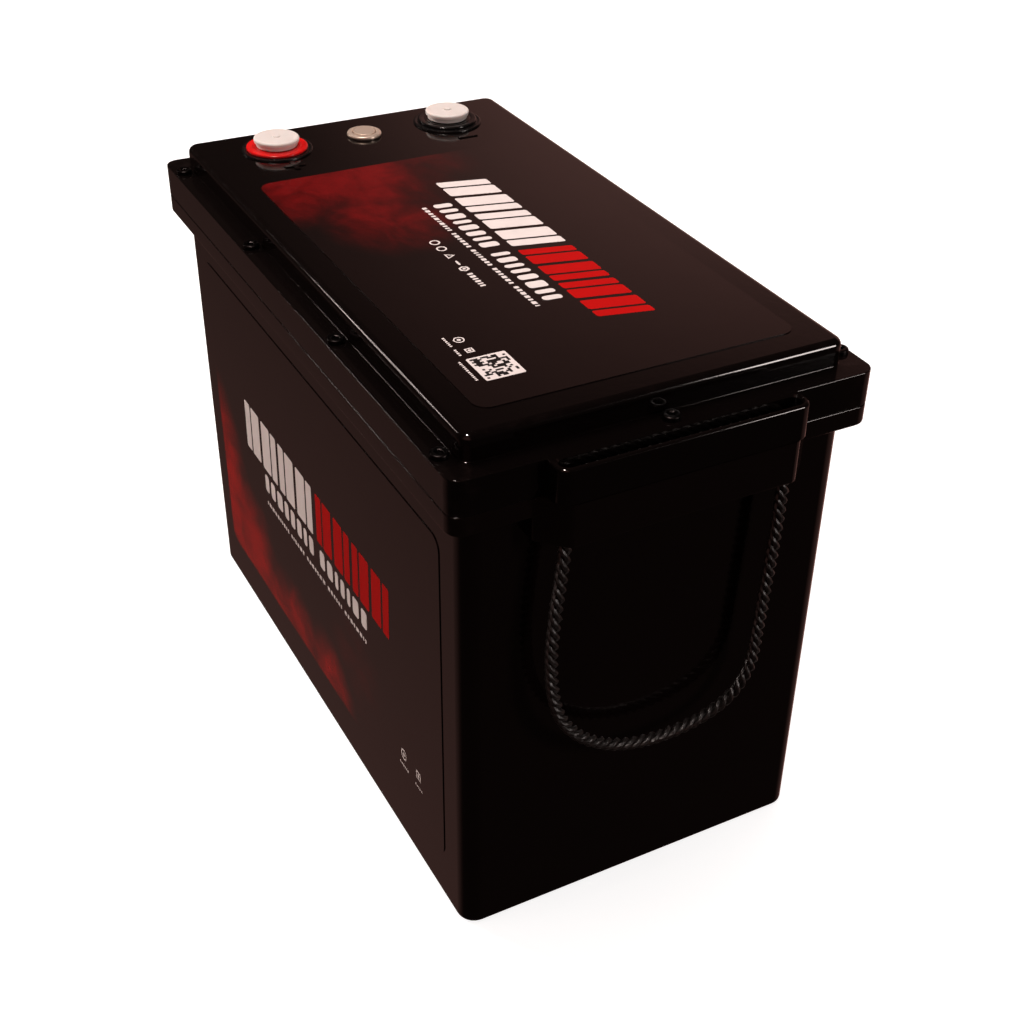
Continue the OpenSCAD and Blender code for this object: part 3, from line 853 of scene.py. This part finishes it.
def upper_lugs():
    """The two lugs of the lid, round at their outer corners."""
    shape = bmesh.new()
    for side in (-1, 1):
        plan = [(p[0], p[1]) for p in rounded(17.5, 60.0, 6.0, 0, 6, (173.0, 0.0))]
        inner = [(x if x > 173.2 else 173.2, y) for x, y in plan]
        flat = []
        for point in inner:
            if not flat or (Vector(point) - Vector(flat[-1])).length > 0.01:
                flat.append(point)
        flat = [p for k, p in enumerate(flat) if not (
            p[0] == 173.2 and flat[k - 1][0] == 173.2 and flat[(k + 1) % len(flat)][0] == 173.2)]
        prism(shape, [(side * x, y) for x, y in flat], SKIRT_Z, LEDGE_Z)

    def outer(ends):
        return max(abs(p.x) for p in ends) > 173.3

    soften(shape, 0.4, 2, lambda ends: outer(ends) and max(p.z for p in ends) < SKIRT_Z + 0.1)
    soften(shape, 1.3, 4, lambda ends: outer(ends) and min(p.z for p in ends) > LEDGE_Z - 0.1)
    return mesh_of("upper_lugs", shape)


def rope_channels():
    """Cutters for the open channel along the top of each lug."""
    shape = bmesh.new()
    for side in (-1, 1):
        rings = []
        for grow, z in ((-0.6, 247.5), (0.0, 248.1), (0.0, 256.5), (0.9, LEDGE_Z), (1.9, 258.4)):
            rings.append(rounded(3.7 + grow, ROPE_Y + 3.7 + grow, 3.69 + grow, z, 8, (side * ROPE_X, 0.0)))
        loft(shape, rings)
    return mesh_of("channels", shape)


def polarity_marks():
    """A raised plus and a raised minus beside the terminals, with soft edges."""
    shape = bmesh.new()
    x, arm, half = -114.0, 5.5, 1.2
    plus = [(arm, half), (half, half), (half, arm), (-half, arm), (-half, half), (-arm, half), (-arm, -half),
            (-half, -half), (-half, -arm), (half, -arm), (half, -half), (arm, -half)]
    prism(shape, [(x + px, -50.0 + py) for px, py in plus], 269.0, 270.0)
    bar = [(-half, -arm), (half, -arm), (half, arm), (-half, arm)]
    prism(shape, [(x + px, 50.0 + py) for px, py in bar], 269.0, 270.0)
    soften(shape, 0.35, 3, lambda ends: min(p.z for p in ends) > 269.9)
    return mesh_of("marks", shape)


class BATTERY_OT_lid(bpy.types.Operator):
    """Build the lid with its raised middle, ledge, upper lugs and rope channels"""

    bl_idname = "battery.lid"
    bl_label = "Lid"

    def execute(self, context):
        body = context.scene.battery_body
        top, ledge = body.top_fillet / MM, body.ledge_fillet / MM
        stages = [(163.8, 86.4, 2.4, 265.4), (164.6, 87.2, 3.0, 264.6), (164.6, 87.2, 3.0, 250.2)]
        stages += [(172.7, 93.6, 9.0, 250.2), (172.7, 93.6, 9.0, SKIRT_Z)]
        stages += eased(COLLAR, quarter((0.4, SKIRT_Z), (0.0, SKIRT_Z + 0.4), 0, 3))
        stages += eased(COLLAR, quarter((0.0, LEDGE_Z - ledge), (ledge, LEDGE_Z), 1, 5))
        stages += eased(RAISED, [(-1.0 * c, z) for c, z in quarter((0.35, LEDGE_Z), (0.0, 257.75), 0, 3)])
        stages += eased(RAISED, quarter((0.0, TOP_Z - top), (top, TOP_Z), 1, 8))
        pockets = block_mesh("pockets", [
            ((x - 3.7, x + 3.7), sorted((y, y - math.copysign(8.5, y))), (243.0, 250.0)) for x, y in HOLES
        ])
        holes = turned_mesh("holes", HOLES, [(3.7, 240.0), (3.7, 252.0)], 48)
        bores = turned_mesh("bores", SCREWS, [(2.1, 240.0), (2.1, 258.0)], 24)
        posts = turned_mesh("posts", [(ROW_X, y) for _, y in TERMINALS], [(6.1, 264.0), (6.1, 271.0)], 48)
        barrel = turned_mesh("barrel", [(ROW_X, 0.0)], [(8.1, 264.0), (8.1, 271.0)], 48)
        shell(context, "lid_shell", stages, [upper_lugs(), polarity_marks()],
              [rope_channels(), pockets, holes, bores, posts, barrel], "lid")
        return {"FINISHED"}


class BATTERY_OT_screws(bpy.types.Operator):
    """Build the ten socket screws that hold the lid"""

    bl_idname = "battery.screws"
    bl_label = "Lid screws"

    def execute(self, context):
        steps = 36
        shape = bmesh.new()
        shaft = [(0.5, 234.0), (1.5, 235.0), (1.9, 236.0), (1.9, LEDGE_Z), (3.8, LEDGE_Z), (4.0, 257.6)]
        head = quarter((4.0, 258.7), (3.1, 259.6), 1, 5)
        socket = [(1.95, 259.35), (1.7, 259.1), (1.7, 258.35), (0.5, 258.2)]
        for place in SCREWS:
            rings = [circle(r, z, steps, place) for r, z in shaft + head + [(2.25, 259.6)]]
            rings += [hexagon(r, z, steps, place) for r, z in socket]
            loft(shape, rings)
        mesh = mesh_of("lid_screw_set", shape)
        screws = new_piece(context, "lid_screw_set", mesh, "black_steel", "battery")
        weigh_normals(screws)
        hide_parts("lid_screws")
        return {"FINISHED"}


# ---------------------------------------------------------------- terminals and button


def threads(radius, low, high, pitch, depth):
    """Grooves of a thread as (radius, height) points, from low to high."""
    points = []
    count = int((high - low) / pitch)
    for k in range(count):
        z = low + k * pitch
        points += [(radius, z), (radius + depth, z + pitch / 2)]
    return points + [(radius, high)]


def make_turned(context, name, profile, sides, material, body, node, closed=False):
    """A turned piece, once for each place across the row of terminals."""
    steps = context.scene.battery_hardware.steps
    shape = bmesh.new()
    for side in sides:
        turned(shape, profile, (ROW_X, side), steps, closed)
    piece = new_piece(context, name, mesh_of(name, shape), material, body)
    weigh_normals(piece)
    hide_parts(node)
    return piece


class BATTERY_OT_terminals(bpy.types.Operator):
    """Build both terminals with their seals, polarity rings and caps"""

    bl_idname = "battery.terminals"
    bl_label = "Terminals"

    def execute(self, context):
        stud = threads(4.0, 246.8, 264.8, 1.25, -0.45)
        bore = [(r, z) for r, z in threads(3.4, 259.4, 273.8, 1.25, 0.42)][::-1]
        post = [(3.3, 246.0)] + stud + [(4.0, 265.4), (6.0, 265.4), (6.0, TOP_Z), (9.5, TOP_Z), (9.8, 269.7)]
        post += [(9.8, 270.9), (9.5, 271.2), (9.5, 271.7), (9.8, 272.0), (9.8, 273.9)]
        post += quarter((9.8, 274.0), (9.3, 274.5), 1, 3) + [(4.5, 274.5), (3.85, 273.95)]
        post += bore + [(3.3, 259.2), (0.5, 258.6)]
        seal = [(9.95, 269.6), (9.95, 270.2), (10.15, 270.4), (16.2, 270.4), (16.6, 270.25), (17.1, 270.25)]
        seal += [(17.5, 270.4), (18.3, 270.4), (18.65, 270.25), (18.8, 269.95), (18.8, 269.55)]
        seal += [(18.6, TOP_Z), (10.1, TOP_Z)]
        ring = [(9.95, 270.6), (9.95, 271.5), (10.2, 271.8), (12.6, 271.8), (12.9, 271.6), (13.2, 271.6)]
        ring += [(13.5, 271.75), (15.5, 271.8)] + quarter((15.6, 271.8), (16.2, 271.2), 0, 4)
        ring += [(16.2, 270.7), (15.95, 270.42), (10.2, 270.42)]
        cap = [(0.6, 274.8), (9.7, 274.8), (10.1, 274.3), (10.1, 272.3), (10.3, 272.1), (10.7, 272.1)]
        cap += [(10.9, 272.35), (10.9, 273.7), (11.1, 274.0), (11.6, 274.1), (11.9, 274.3), (12.0, 274.7)]
        cap += quarter((12.0, 275.6), (11.1, 276.45), 1, 5) + [(10.4, 276.5), (9.9, 276.38), (9.4, 276.38)]
        cap += [(8.9, 276.5), (2.6, 276.5), (2.35, 276.32), (2.0, 276.32), (1.75, 276.5), (1.6, 276.9)]
        cap += [(1.3, 277.0), (0.4, 277.0)]
        for pole, y in TERMINALS:
            red = pole == "positive"
            make_turned(context, "post_" + pole, post, [y], "nickel", "battery",
                        "terminal_" + pole)
            make_turned(context, "ring_" + pole, ring, [y], "red_plastic" if red else "black_plastic",
                        "battery", "terminal_ring_" + pole, closed=True)
            make_turned(context, "cap_cover_" + pole, cap, [y], "cap_plastic", pole + "_cap",
                        "cap_" + pole)
        make_turned(context, "seal_pair", seal, [y for _, y in TERMINALS], "seal_rubber", "battery",
                    "terminal_seals", closed=True)
        return {"FINISHED"}


def spring_wire(low, high, turns=5, coil_r=3.6, wire_r=0.34, steps=24):
    """The push button's coil spring, from its seat up to the button's skirt."""
    shape, rings = bmesh.new(), []
    climb = high - low - 2 * wire_r
    for i in range(turns * steps + 1):
        angle = 2 * math.pi * i / steps
        out = Vector((math.cos(angle), math.sin(angle), 0.0))
        middle = Vector((ROW_X, 0.0, low + wire_r + climb * i / (turns * steps))) + out * coil_r
        rings.append([middle + out * (wire_r * math.cos(a)) + Vector((0.0, 0.0, wire_r * math.sin(a)))
                      for a in (2 * math.pi * k / 10 for k in range(10))])
    loft(shape, rings)
    return mesh_of("button_coil", shape)


class BATTERY_OT_button(bpy.types.Operator):
    """Build the push button and its threaded housing"""

    bl_idname = "battery.button"
    bl_label = "Push button"

    def execute(self, context):
        housing = [(2.4, 252.0), (2.4, 256.0), (6.3, 256.0), (6.3, 271.1), (6.65, 271.6), (8.2, 271.6)]
        housing += quarter((8.3, 271.6), (9.3, 270.5), 0, 5)
        housing += [(9.3, 269.8), (9.1, TOP_Z), (8.0, TOP_Z), (8.0, 265.4)]
        housing += threads(8.0, 248.6, 265.0, 1.0, -0.4)[::-1] + [(7.4, 247.0), (2.6, 247.0)]
        make_turned(context, "button_bezel", housing, [0.0], "turned_steel", "battery",
                    "button_housing", closed=True)
        button = [(0.4, 254.5), (2.0, 254.5), (2.2, 254.8), (2.2, 266.6), (5.7, 266.6), (6.0, 266.9)]
        button += [(6.0, 271.5)] + quarter((6.0, 271.55), (5.5, 272.0), 1, 4)
        button += [(4.4, 272.08), (3.0, 272.1), (0.4, 272.1)]
        make_turned(context, "button_push", button, [0.0], "turned_steel", "button",
                    "button_cap")
        low, high = (corner[2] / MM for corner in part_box("button_spring"))
        coil = new_piece(context, "button_coil", spring_wire(low, high), "zinc", "battery")
        smooth_by_angle(coil.data, 60)
        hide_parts("button_spring")
        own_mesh(coil)
        return {"FINISHED"}


# ---------------------------------------------------------------- rope


def curve_through(points, count):
    """Points on a smooth curve through the given ones, count to each stretch."""
    path = []
    for i in range(len(points) - 1):
        a, b, c, d = (Vector(points[max(0, min(len(points) - 1, i + k))]) for k in (-1, 0, 1, 2))
        for k in range(count):
            t = k / count
            path.append(0.5 * (2 * b + (c - a) * t + (2 * a - 5 * b + 4 * c - d) * t ** 2
                               + (3 * b - 3 * c + d - a) * t ** 3))
    return path + [Vector(points[-1])]


def evenly(path, count):
    """The path again with that many equal steps."""
    run = [0.0]
    for a, b in zip(path, path[1:]):
        run.append(run[-1] + (b - a).length)
    points, k = [], 0
    for i in range(count + 1):
        want = run[-1] * i / count
        while k < len(path) - 2 and run[k + 1] < want:
            k += 1
        share = (want - run[k]) / max(run[k + 1] - run[k], 1e-9)
        points.append(path[k].lerp(path[k + 1], min(1.0, share)))
    return points, run[-1]


def rope_ring():
    """The rope's whole line in the plane of its handle, as (across, up): the loop, then the held run."""
    loop = curve_through(LOOP, 16)
    down = [Vector((ROPE_Y, z)) for z in (216.0, 219.0, 222.0, 226.0, 230.0, 234.0, 238.0, 241.0)]
    bend = [
        Vector((ROPE_Y - BEND_R + BEND_R * math.cos(a), RUN_Z - BEND_R + BEND_R * math.sin(a)))
        for a in (math.radians(d) for d in range(0, 91, 10))
    ]
    run = [Vector((ROPE_Y - BEND_R - k * 2 * (ROPE_Y - BEND_R) / 12, RUN_Z)) for k in range(1, 12)]
    back = [Vector((-p.x, p.y)) for p in (down + bend)[::-1]]
    return loop + down + bend + run + back + [Vector(LOOP[0])]


def strand_tubes(name, centres, first, lay_steps, rope_r, yarns, place_of):
    """Three twisted strands round a run of centres; first is the run's place in the whole ring."""
    strand_r, offset = rope_r * 0.464, rope_r * 0.536
    around = 4 * yarns
    shape = bmesh.new()
    for strand in range(3):
        rings = []
        for i, (middle, across) in enumerate(centres):
            turn = 2 * math.pi * ((first + i) / lay_steps + strand / 3)
            side = Vector((1.0, 0.0, 0.0))
            heart = middle + (side * math.cos(turn) + across * math.sin(turn)) * offset
            ring = []
            for k in range(around):
                angle = 2 * math.pi * k / around
                lobe = 0.93 + 0.07 * math.cos(yarns * angle)
                twist = angle - 0.6 * turn
                ring.append(heart + (side * math.cos(twist) + across * math.sin(twist)) * strand_r * lobe)
            rings.append([place_of(p) for p in ring])
        loft(shape, rings)
    return mesh_of(name, shape)


class BATTERY_OT_ropes(bpy.types.Operator):
    """Build the two rope handles: the free loops and the runs held in the lugs"""

    bl_idname = "battery.ropes"
    bl_label = "Rope handles"

    def execute(self, context):
        rope = context.scene.battery_rope
        line, length = evenly(rope_ring(), 960)
        count = len(line) - 1
        turns = round(length * MM / rope.lay * 3) / 3
        lay_steps = count / turns
        centres = []
        for i in range(count):
            along = (line[(i + 1) % count] - line[i - 1]).normalized()
            centres.append((
                Vector((ROPE_X, line[i].x, line[i].y)),
                Vector((0.0, -along.y, along.x)),
            ))
        right_end = next(i for i in range(count // 2, count) if line[i].y > HOLE_JOIN_Z)
        left_end = next(i for i in range(count - 1, 0, -1) if line[i].y > HOLE_JOIN_Z)
        loop_run = [(i % count) for i in range(left_end + 1 - count, right_end)]
        held_run = list(range(right_end, left_end + 1))
        for side, turn in (("right", 1.0), ("left", -1.0)):

            def place_of(p, turn=turn):
                return Vector((p.x * turn, p.y * turn, p.z))

            runs = (("loop", loop_run, left_end + 1 - count), ("held", held_run, right_end))
            for part, run, first in runs:
                name = f"rope_{part}_{side}"
                mesh = strand_tubes(name, [centres[i] for i in run], first, lay_steps,
                                    rope.thickness / MM / 2, rope.yarns, place_of)
                smooth_by_angle(mesh, 60)
                piece = new_piece(context, name, mesh, "rope_fibre")
                path = [place_of(centres[i][0]) * MM for i in run]
                if part == "held":
                    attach(piece, "battery")
                    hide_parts("rope_anchor_" + side)
                else:
                    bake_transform(piece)
                    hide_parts("rope_handle_" + side)
        return {"FINISHED"}


# ---------------------------------------------------------------- labels


GAUGE_BLOCKS = 4


class Sheet:
    """Printing on a flat face: shapes given across and up, in millimetres, as thin raised solids."""

    def __init__(self, place_of):
        self.place_of = place_of
        self.shape = bmesh.new()

    def solid(self, outline):
        loft(self.shape, [[self.place_of(x, y, level) for x, y in outline] for level in (0, 1)])

    def block(self, x, y, width, height, slant=0.0, radius=0.4):
        """A leaning block with rounded corners, its lower left corner at x, y."""
        points = rounded(width / 2, height / 2, min(radius, width / 2.01, height / 2.01), 0, 4)
        self.solid([
            (x + width / 2 + px + slant * (py + height / 2), y + height / 2 + py) for px, py, _ in points
        ])

    def ring(self, x, y, outer, inner, sides=40, turn=0.0):
        """A flat ring, or a frame when it has few sides."""
        edges = ((outer, 0), (outer, 1), (inner, 1), (inner, 0))
        loft(self.shape, [
            [self.place_of(px, py, level) for px, py in around(x, y, radius, sides, turn)]
            for radius, level in edges
        ], closed=True)

    def dot(self, x, y, radius):
        self.solid(around(x, y, radius, 28))

    def finished(self, context, name, material, slot):
        new_piece(context, name, mesh_of(name, self.shape), material, "battery")


def gauge(sheet, x0, x1, y, height, slant, slot):
    """A row of leaning blocks, each split by a narrow slot, like a charge gauge."""
    pitch = (x1 - x0) / GAUGE_BLOCKS
    for k in range(GAUGE_BLOCKS):
        left = x0 + k * pitch
        wide = pitch * 0.86
        share = 0.60 if k % 2 else 0.40
        sheet.block(left, y, wide * share - slot / 2, height, slant, 1.2)
        sheet.block(left + wide * share + slot / 2, y, wide * (1 - share) - slot / 2, height, slant, 1.2)


def dashes(sheet, chance, x0, x1, y, height, pitch, fill, slant=0.0, gaps=()):
    """A line of short marks of mixed widths with wider gaps after some of them."""
    x, k = x0, 0
    while x < x1 - pitch * 0.3:
        width = pitch * chance.uniform(*fill)
        width = min(width, x1 - x)
        sheet.block(x, y, width, height, slant, height * 0.18)
        x += width + pitch * (0.36 if k not in gaps else 1.0)
        k += 1


def checker(white, dark, chance, x, y, width, height, columns, rows):
    """A white plate with dark squares scattered over it."""
    white.block(x, y, width, height, 0.0, 0.8)
    margin, fill = 1.2, 0.96
    step_x, step_y = (width - 2 * margin) / columns, (height - 2 * margin) / rows
    for column in range(columns):
        for row in range(rows):
            if chance.random() < 0.47:
                dark.block(x + margin + column * step_x, y + margin + row * step_y,
                           step_x * fill, step_y * fill, 0.0, 0.05)


class BATTERY_OT_labels(bpy.types.Operator):
    """Build the printing on the two labels"""

    bl_idname = "battery.labels"
    bl_label = "Labels"

    def execute(self, context):
        thick = context.scene.battery_print.ink / MM
        top_z, front_y = LABEL_TOP[1].z / MM, LABEL_FRONT[0].y / MM

        def on_top(layer):
            return lambda x, y, level: (x, y, top_z - 0.02 + (layer + level) * (thick + 0.02))

        def on_front(layer):
            return lambda x, z, level: (x, front_y + 0.02 - (layer + level) * (thick + 0.02), z)

        chance = random.Random(7)
        white, red, dark = Sheet(on_top(0)), Sheet(on_top(0)), Sheet(on_top(1))
        gauge(white, -61.0, 27.0, 5.5, 26.0, 0.22, 1.7)
        gauge(red, 29.0, 107.0, 5.5, 26.0, 0.22, 1.7)
        dashes(white, chance, -36.0, 84.0, -8.0, 9.4, 7.6, (0.42, 0.95), 0.10, gaps=(7,))
        dashes(white, chance, -35.0, 84.0, -14.2, 2.3, 3.2, (0.35, 0.9), 0.10, gaps=(9, 15, 22, 28))
        white.ring(4.6, -25.6, 2.6, 1.8)
        white.ring(12.2, -25.6, 2.6, 1.8)
        white.ring(21.0, -25.9, 3.0, 1.7, sides=3, turn=math.pi / 2)
        white.block(27.0, -26.0, 4.6, 1.1)
        white.ring(36.2, -25.6, 2.7, 1.6, sides=6)
        white.dot(36.2, -25.6, 0.8)
        dashes(white, chance, 41.5, 56.0, -27.0, 2.8, 2.9, (0.4, 0.8))
        white.dot(97.4, -58.0, 0.9)
        white.ring(97.4, -58.0, 2.5, 1.9)
        white.ring(107.6, -58.0, 2.6, 1.7, sides=4, turn=math.pi / 4)
        white.dot(107.6, -58.0, 0.8)
        dashes(white, chance, 93.0, 101.6, -64.0, 1.1, 1.5, (0.4, 0.8))
        dashes(white, chance, 104.6, 111.0, -64.0, 1.1, 1.5, (0.4, 0.8))
        dashes(white, chance, 115.0, 132.0, -67.0, 1.1, 1.5, (0.4, 0.8))
        checker(white, dark, chance, 114.0, -63.2, 20.0, 18.1, 15, 13)
        white.finished(context, "top_white_print", "white_ink", "top_print")
        red.finished(context, "top_red_print", "red_ink", "top_print")
        dark.finished(context, "top_dark_print", "dark_ink", "top_print")

        chance = random.Random(11)
        white, red = Sheet(on_front(0)), Sheet(on_front(0))
        gauge(white, -101.0, 1.0, 118.7, 30.0, 0.05, 1.9)
        gauge(red, 3.0, 97.0, 118.7, 30.0, 0.05, 1.9)
        dashes(white, chance, -75.0, 67.0, 104.0, 11.0, 8.8, (0.42, 0.95), 0.04, gaps=(7,))
        dashes(white, chance, -74.0, 66.0, 95.0, 2.4, 3.6, (0.35, 0.9), 0.0, gaps=(9, 15, 22, 28))
        white.dot(106.0, 56.5, 1.1)
        white.ring(106.0, 56.5, 3.2, 2.4)
        white.ring(123.0, 56.7, 3.5, 2.4, sides=4, turn=math.pi / 4)
        white.dot(123.0, 56.7, 1.0)
        dashes(white, chance, 101.0, 111.0, 48.4, 1.3, 1.8, (0.4, 0.8))
        dashes(white, chance, 119.0, 127.0, 48.4, 1.3, 1.8, (0.4, 0.8))
        white.finished(context, "front_white_print", "white_ink", "front_print")
        red.finished(context, "front_red_print", "red_ink", "front_print")
        return {"FINISHED"}


# ---------------------------------------------------------------- parts carried over


CARRIED = {
    "top_label": "top_film", "front_label": "front_film", "lid_gasket": "seal_rubber",
    "terminal_nuts": "zinc", "button_nut": "zinc", "button_contacts": "brass",
    "cell_1": "cell_wrap", "cell_2": "cell_wrap", "cell_3": "cell_wrap", "cell_4": "cell_wrap",
    "cell_poles": "aluminium", "cell_vents": "aluminium", "sense_tabs": "nickel",
    "cell_insulators": "laminate", "end_plates": "laminate", "pack_straps": "zinc",
    "base_foam": "foam", "end_foam": "foam",
    "top_foam": "foam", "busbars": "copper", "busbar_nuts": "zinc", "bms_heatsink": "aluminium",
    "bms_board": "circuit_board", "bms_transistors": "black_plastic", "bms_screws": "zinc",
    "bms_terminals": "brass",
    "balance_plug": "white_plastic", "balance_wires": "blue_wire", "temperature_probe": "black_plastic",
    "wireless_module": "circuit_board", "button_lead": "black_wire", "positive_cable": "red_wire",
    "cell_negative_cable": "black_wire", "post_negative_cable": "black_wire", "cable_lugs": "nickel",
}


class BATTERY_OT_carried(bpy.types.Operator):
    """Give the pieces that come straight from the frame their finishes"""

    bl_idname = "battery.carried"
    bl_label = "Gasket, labels and inner parts"

    def execute(self, context):
        for node, material in CARRIED.items():
            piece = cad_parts[node]
            if not piece.material_slots:
                raise RuntimeError(f"{node} has no material slot")
            for slot in piece.material_slots:
                slot.material = finish(context, material)
        return {"FINISHED"}


# ---------------------------------------------------------------- stage


LIT_POINT = (0.0, 0.0, 0.14)


def area_light(context, name, place, size, power, colour, shines=True, lights=True):
    """A rectangular light aimed at the battery; it may show only as shine, or only as light."""
    data = bpy.data.lights.new(name, "AREA")
    data.shape = "RECTANGLE"
    data.size, data.size_y = size
    data.energy = power
    data.color = colour
    light = bpy.data.objects.new(name, data)
    light.location = place
    light.visible_glossy = shines
    light.visible_diffuse = lights
    light.rotation_euler = (Vector(LIT_POINT) - Vector(place)).to_track_quat("-Z", "Y").to_euler()
    context.scene.collection.objects.link(light)


def add_camera(context):
    data = bpy.data.cameras.new("camera")
    data.lens, data.sensor_width = 54.01, 36.0
    data.shift_x, data.shift_y = -0.0322, 0.0195
    data.clip_start, data.clip_end = 0.01, 60.0
    camera = bpy.data.objects.new("camera", data)
    ahead, up = Vector((-0.71477, 0.40348, -0.57123)), Vector((-0.51121, 0.25597, 0.82046))
    right = ahead.cross(up).normalized()
    up = right.cross(ahead).normalized()
    turn = Matrix((right, up, -ahead.normalized())).transposed().to_4x4()
    camera.matrix_world = Matrix.Translation((0.6163, -0.3068, 0.5726)) @ turn
    context.scene.collection.objects.link(camera)
    context.scene.camera = camera


def add_floor(context):
    shape = bmesh.new()
    bmesh.ops.create_grid(shape, x_segments=12, y_segments=12, size=4000)
    floor = new_piece(context, "floor", mesh_of("floor", shape), None)
    made = Finish("floor_paint", {"Specular IOR Level": 0.1, "Emission Color": (1.0, 1.0, 1.0, 1.0)})
    stage = context.scene.battery_stage
    colour = stage.floor_colour
    made.colour(made.mix(shade(colour, 0.99), shade(colour, 1.01), made.noise(3, detail=2)))
    made.roughness(0.85)
    made.shader.inputs["Emission Strength"].default_value = stage.floor_glow
    floor.data.materials.append(made.material)
    floor.visible_glossy = False
    floor.visible_diffuse = False


def add_world(context):
    """Soft warm surroundings: glows behind the left end, low at the left, in front and behind."""
    world = bpy.data.worlds.new("studio")
    context.scene.world = world
    made = Tree(world)
    made.nodes.clear()
    x, y, z = made.axes(made.node("TexCoord"))
    left = (0 - x).step(0.0, 0.5)
    behind = y.step(0.27, 0.56) * (1 - z.step(0.33, 0.53))
    low = (0 - z).step(0.25, 0.75) * 0.075 + (0 - z).step(0.0, 0.3) * 0.04
    opposite = x.step(0.0, 0.5) * (0 - y).step(0.1, 0.5) * z.step(0.05, 0.4)
    beyond = y.step(0.56, 0.80) * (0 - z).step(-0.1, 0.3)
    glow = left * (behind * 0.44 + low) + opposite * 0.4 + beyond * 0.15
    lit = made.mix((0.022, 0.014, 0.012), (1.0, 0.48, 0.41), glow)
    soft = made.node("Background", None, {"Color": lit})
    pale = made.node("Background", None, {"Color": (0.97, 0.97, 0.965, 1.0)})
    seen = made.node("LightPath", output="Is Camera Ray")
    whole = made.node("MixShader", None, {0: seen, 1: soft, 2: pale})
    made.node("OutputWorld", None, {0: whole})


class BATTERY_OT_stage(bpy.types.Operator):
    """Set up the camera, the pale floor and the soft studio light"""

    bl_idname = "battery.stage"
    bl_label = "Stage"

    def execute(self, context):
        stage = context.scene.battery_stage
        add_camera(context)
        add_floor(context)
        add_world(context)
        context.scene.view_settings.view_transform = "Standard"
        warm, soft = (1.0, 0.86, 0.80), (1.0, 0.88, 0.83)
        area_light(context, "key_light", (-1.45, -1.02, 0.88), (0.20, 0.20), stage.key_power, warm,
                   shines=False)
        area_light(context, "glint_light", (-1.45, -1.02, 0.88), (0.22, 0.30), stage.glint_power, warm,
                   lights=False)
        area_light(context, "spark_light", (0.27, -0.46, 1.55), (0.15, 0.15), stage.spark_power, warm,
                   lights=False)
        area_light(context, "top_light", (-0.3, 0.2, 2.2), (1.6, 1.6), stage.top_power, (1.0, 0.90, 0.86),
                   shines=False)
        area_light(context, "front_light", (-0.5, -2.2, 0.9), (1.2, 0.8), stage.front_power, soft, shines=False)
        area_light(context, "end_light", (1.5, 1.1, 0.75), (0.30, 0.45), stage.rim_power, (1.0, 0.88, 0.84))
        return {"FINISHED"}


# ---------------------------------------------------------------- panel and registration


ORDER = (
    BATTERY_OT_stage,
    BATTERY_OT_ropes,
    BATTERY_OT_case,
    BATTERY_OT_lid,
    BATTERY_OT_screws,
    BATTERY_OT_terminals,
    BATTERY_OT_button,
    BATTERY_OT_labels,
    BATTERY_OT_carried,
)


class BATTERY_PT_panel(bpy.types.Panel):
    """Settings and steps for the battery"""

    bl_idname = "BATTERY_PT_panel"
    bl_label = "Deep cycle battery"
    bl_space_type = "VIEW_3D"
    bl_region_type = "UI"
    bl_category = "Battery"

    def draw(self, context):
        for group, kind in SETTINGS.items():
            box = self.layout.box()
            for name in kind.__annotations__:
                box.prop(getattr(context.scene, group), name)
        for operator in ORDER:
            self.layout.operator(operator.bl_idname)


CLASSES = (*SETTINGS.values(), *ORDER, BATTERY_PT_panel)


def register():
    for kind in CLASSES:
        bpy.utils.register_class(kind)
    for group, kind in SETTINGS.items():
        setattr(bpy.types.Scene, group, PointerProperty(type=kind))


def unregister():
    for group in SETTINGS:
        delattr(bpy.types.Scene, group)
    for kind in reversed(CLASSES):
        bpy.utils.unregister_class(kind)


def main():
    register()
    for operator in ORDER:
        group, name = operator.bl_idname.split(".")
        getattr(getattr(bpy.ops, group), name)()


if __name__ == "__main__":
    main()
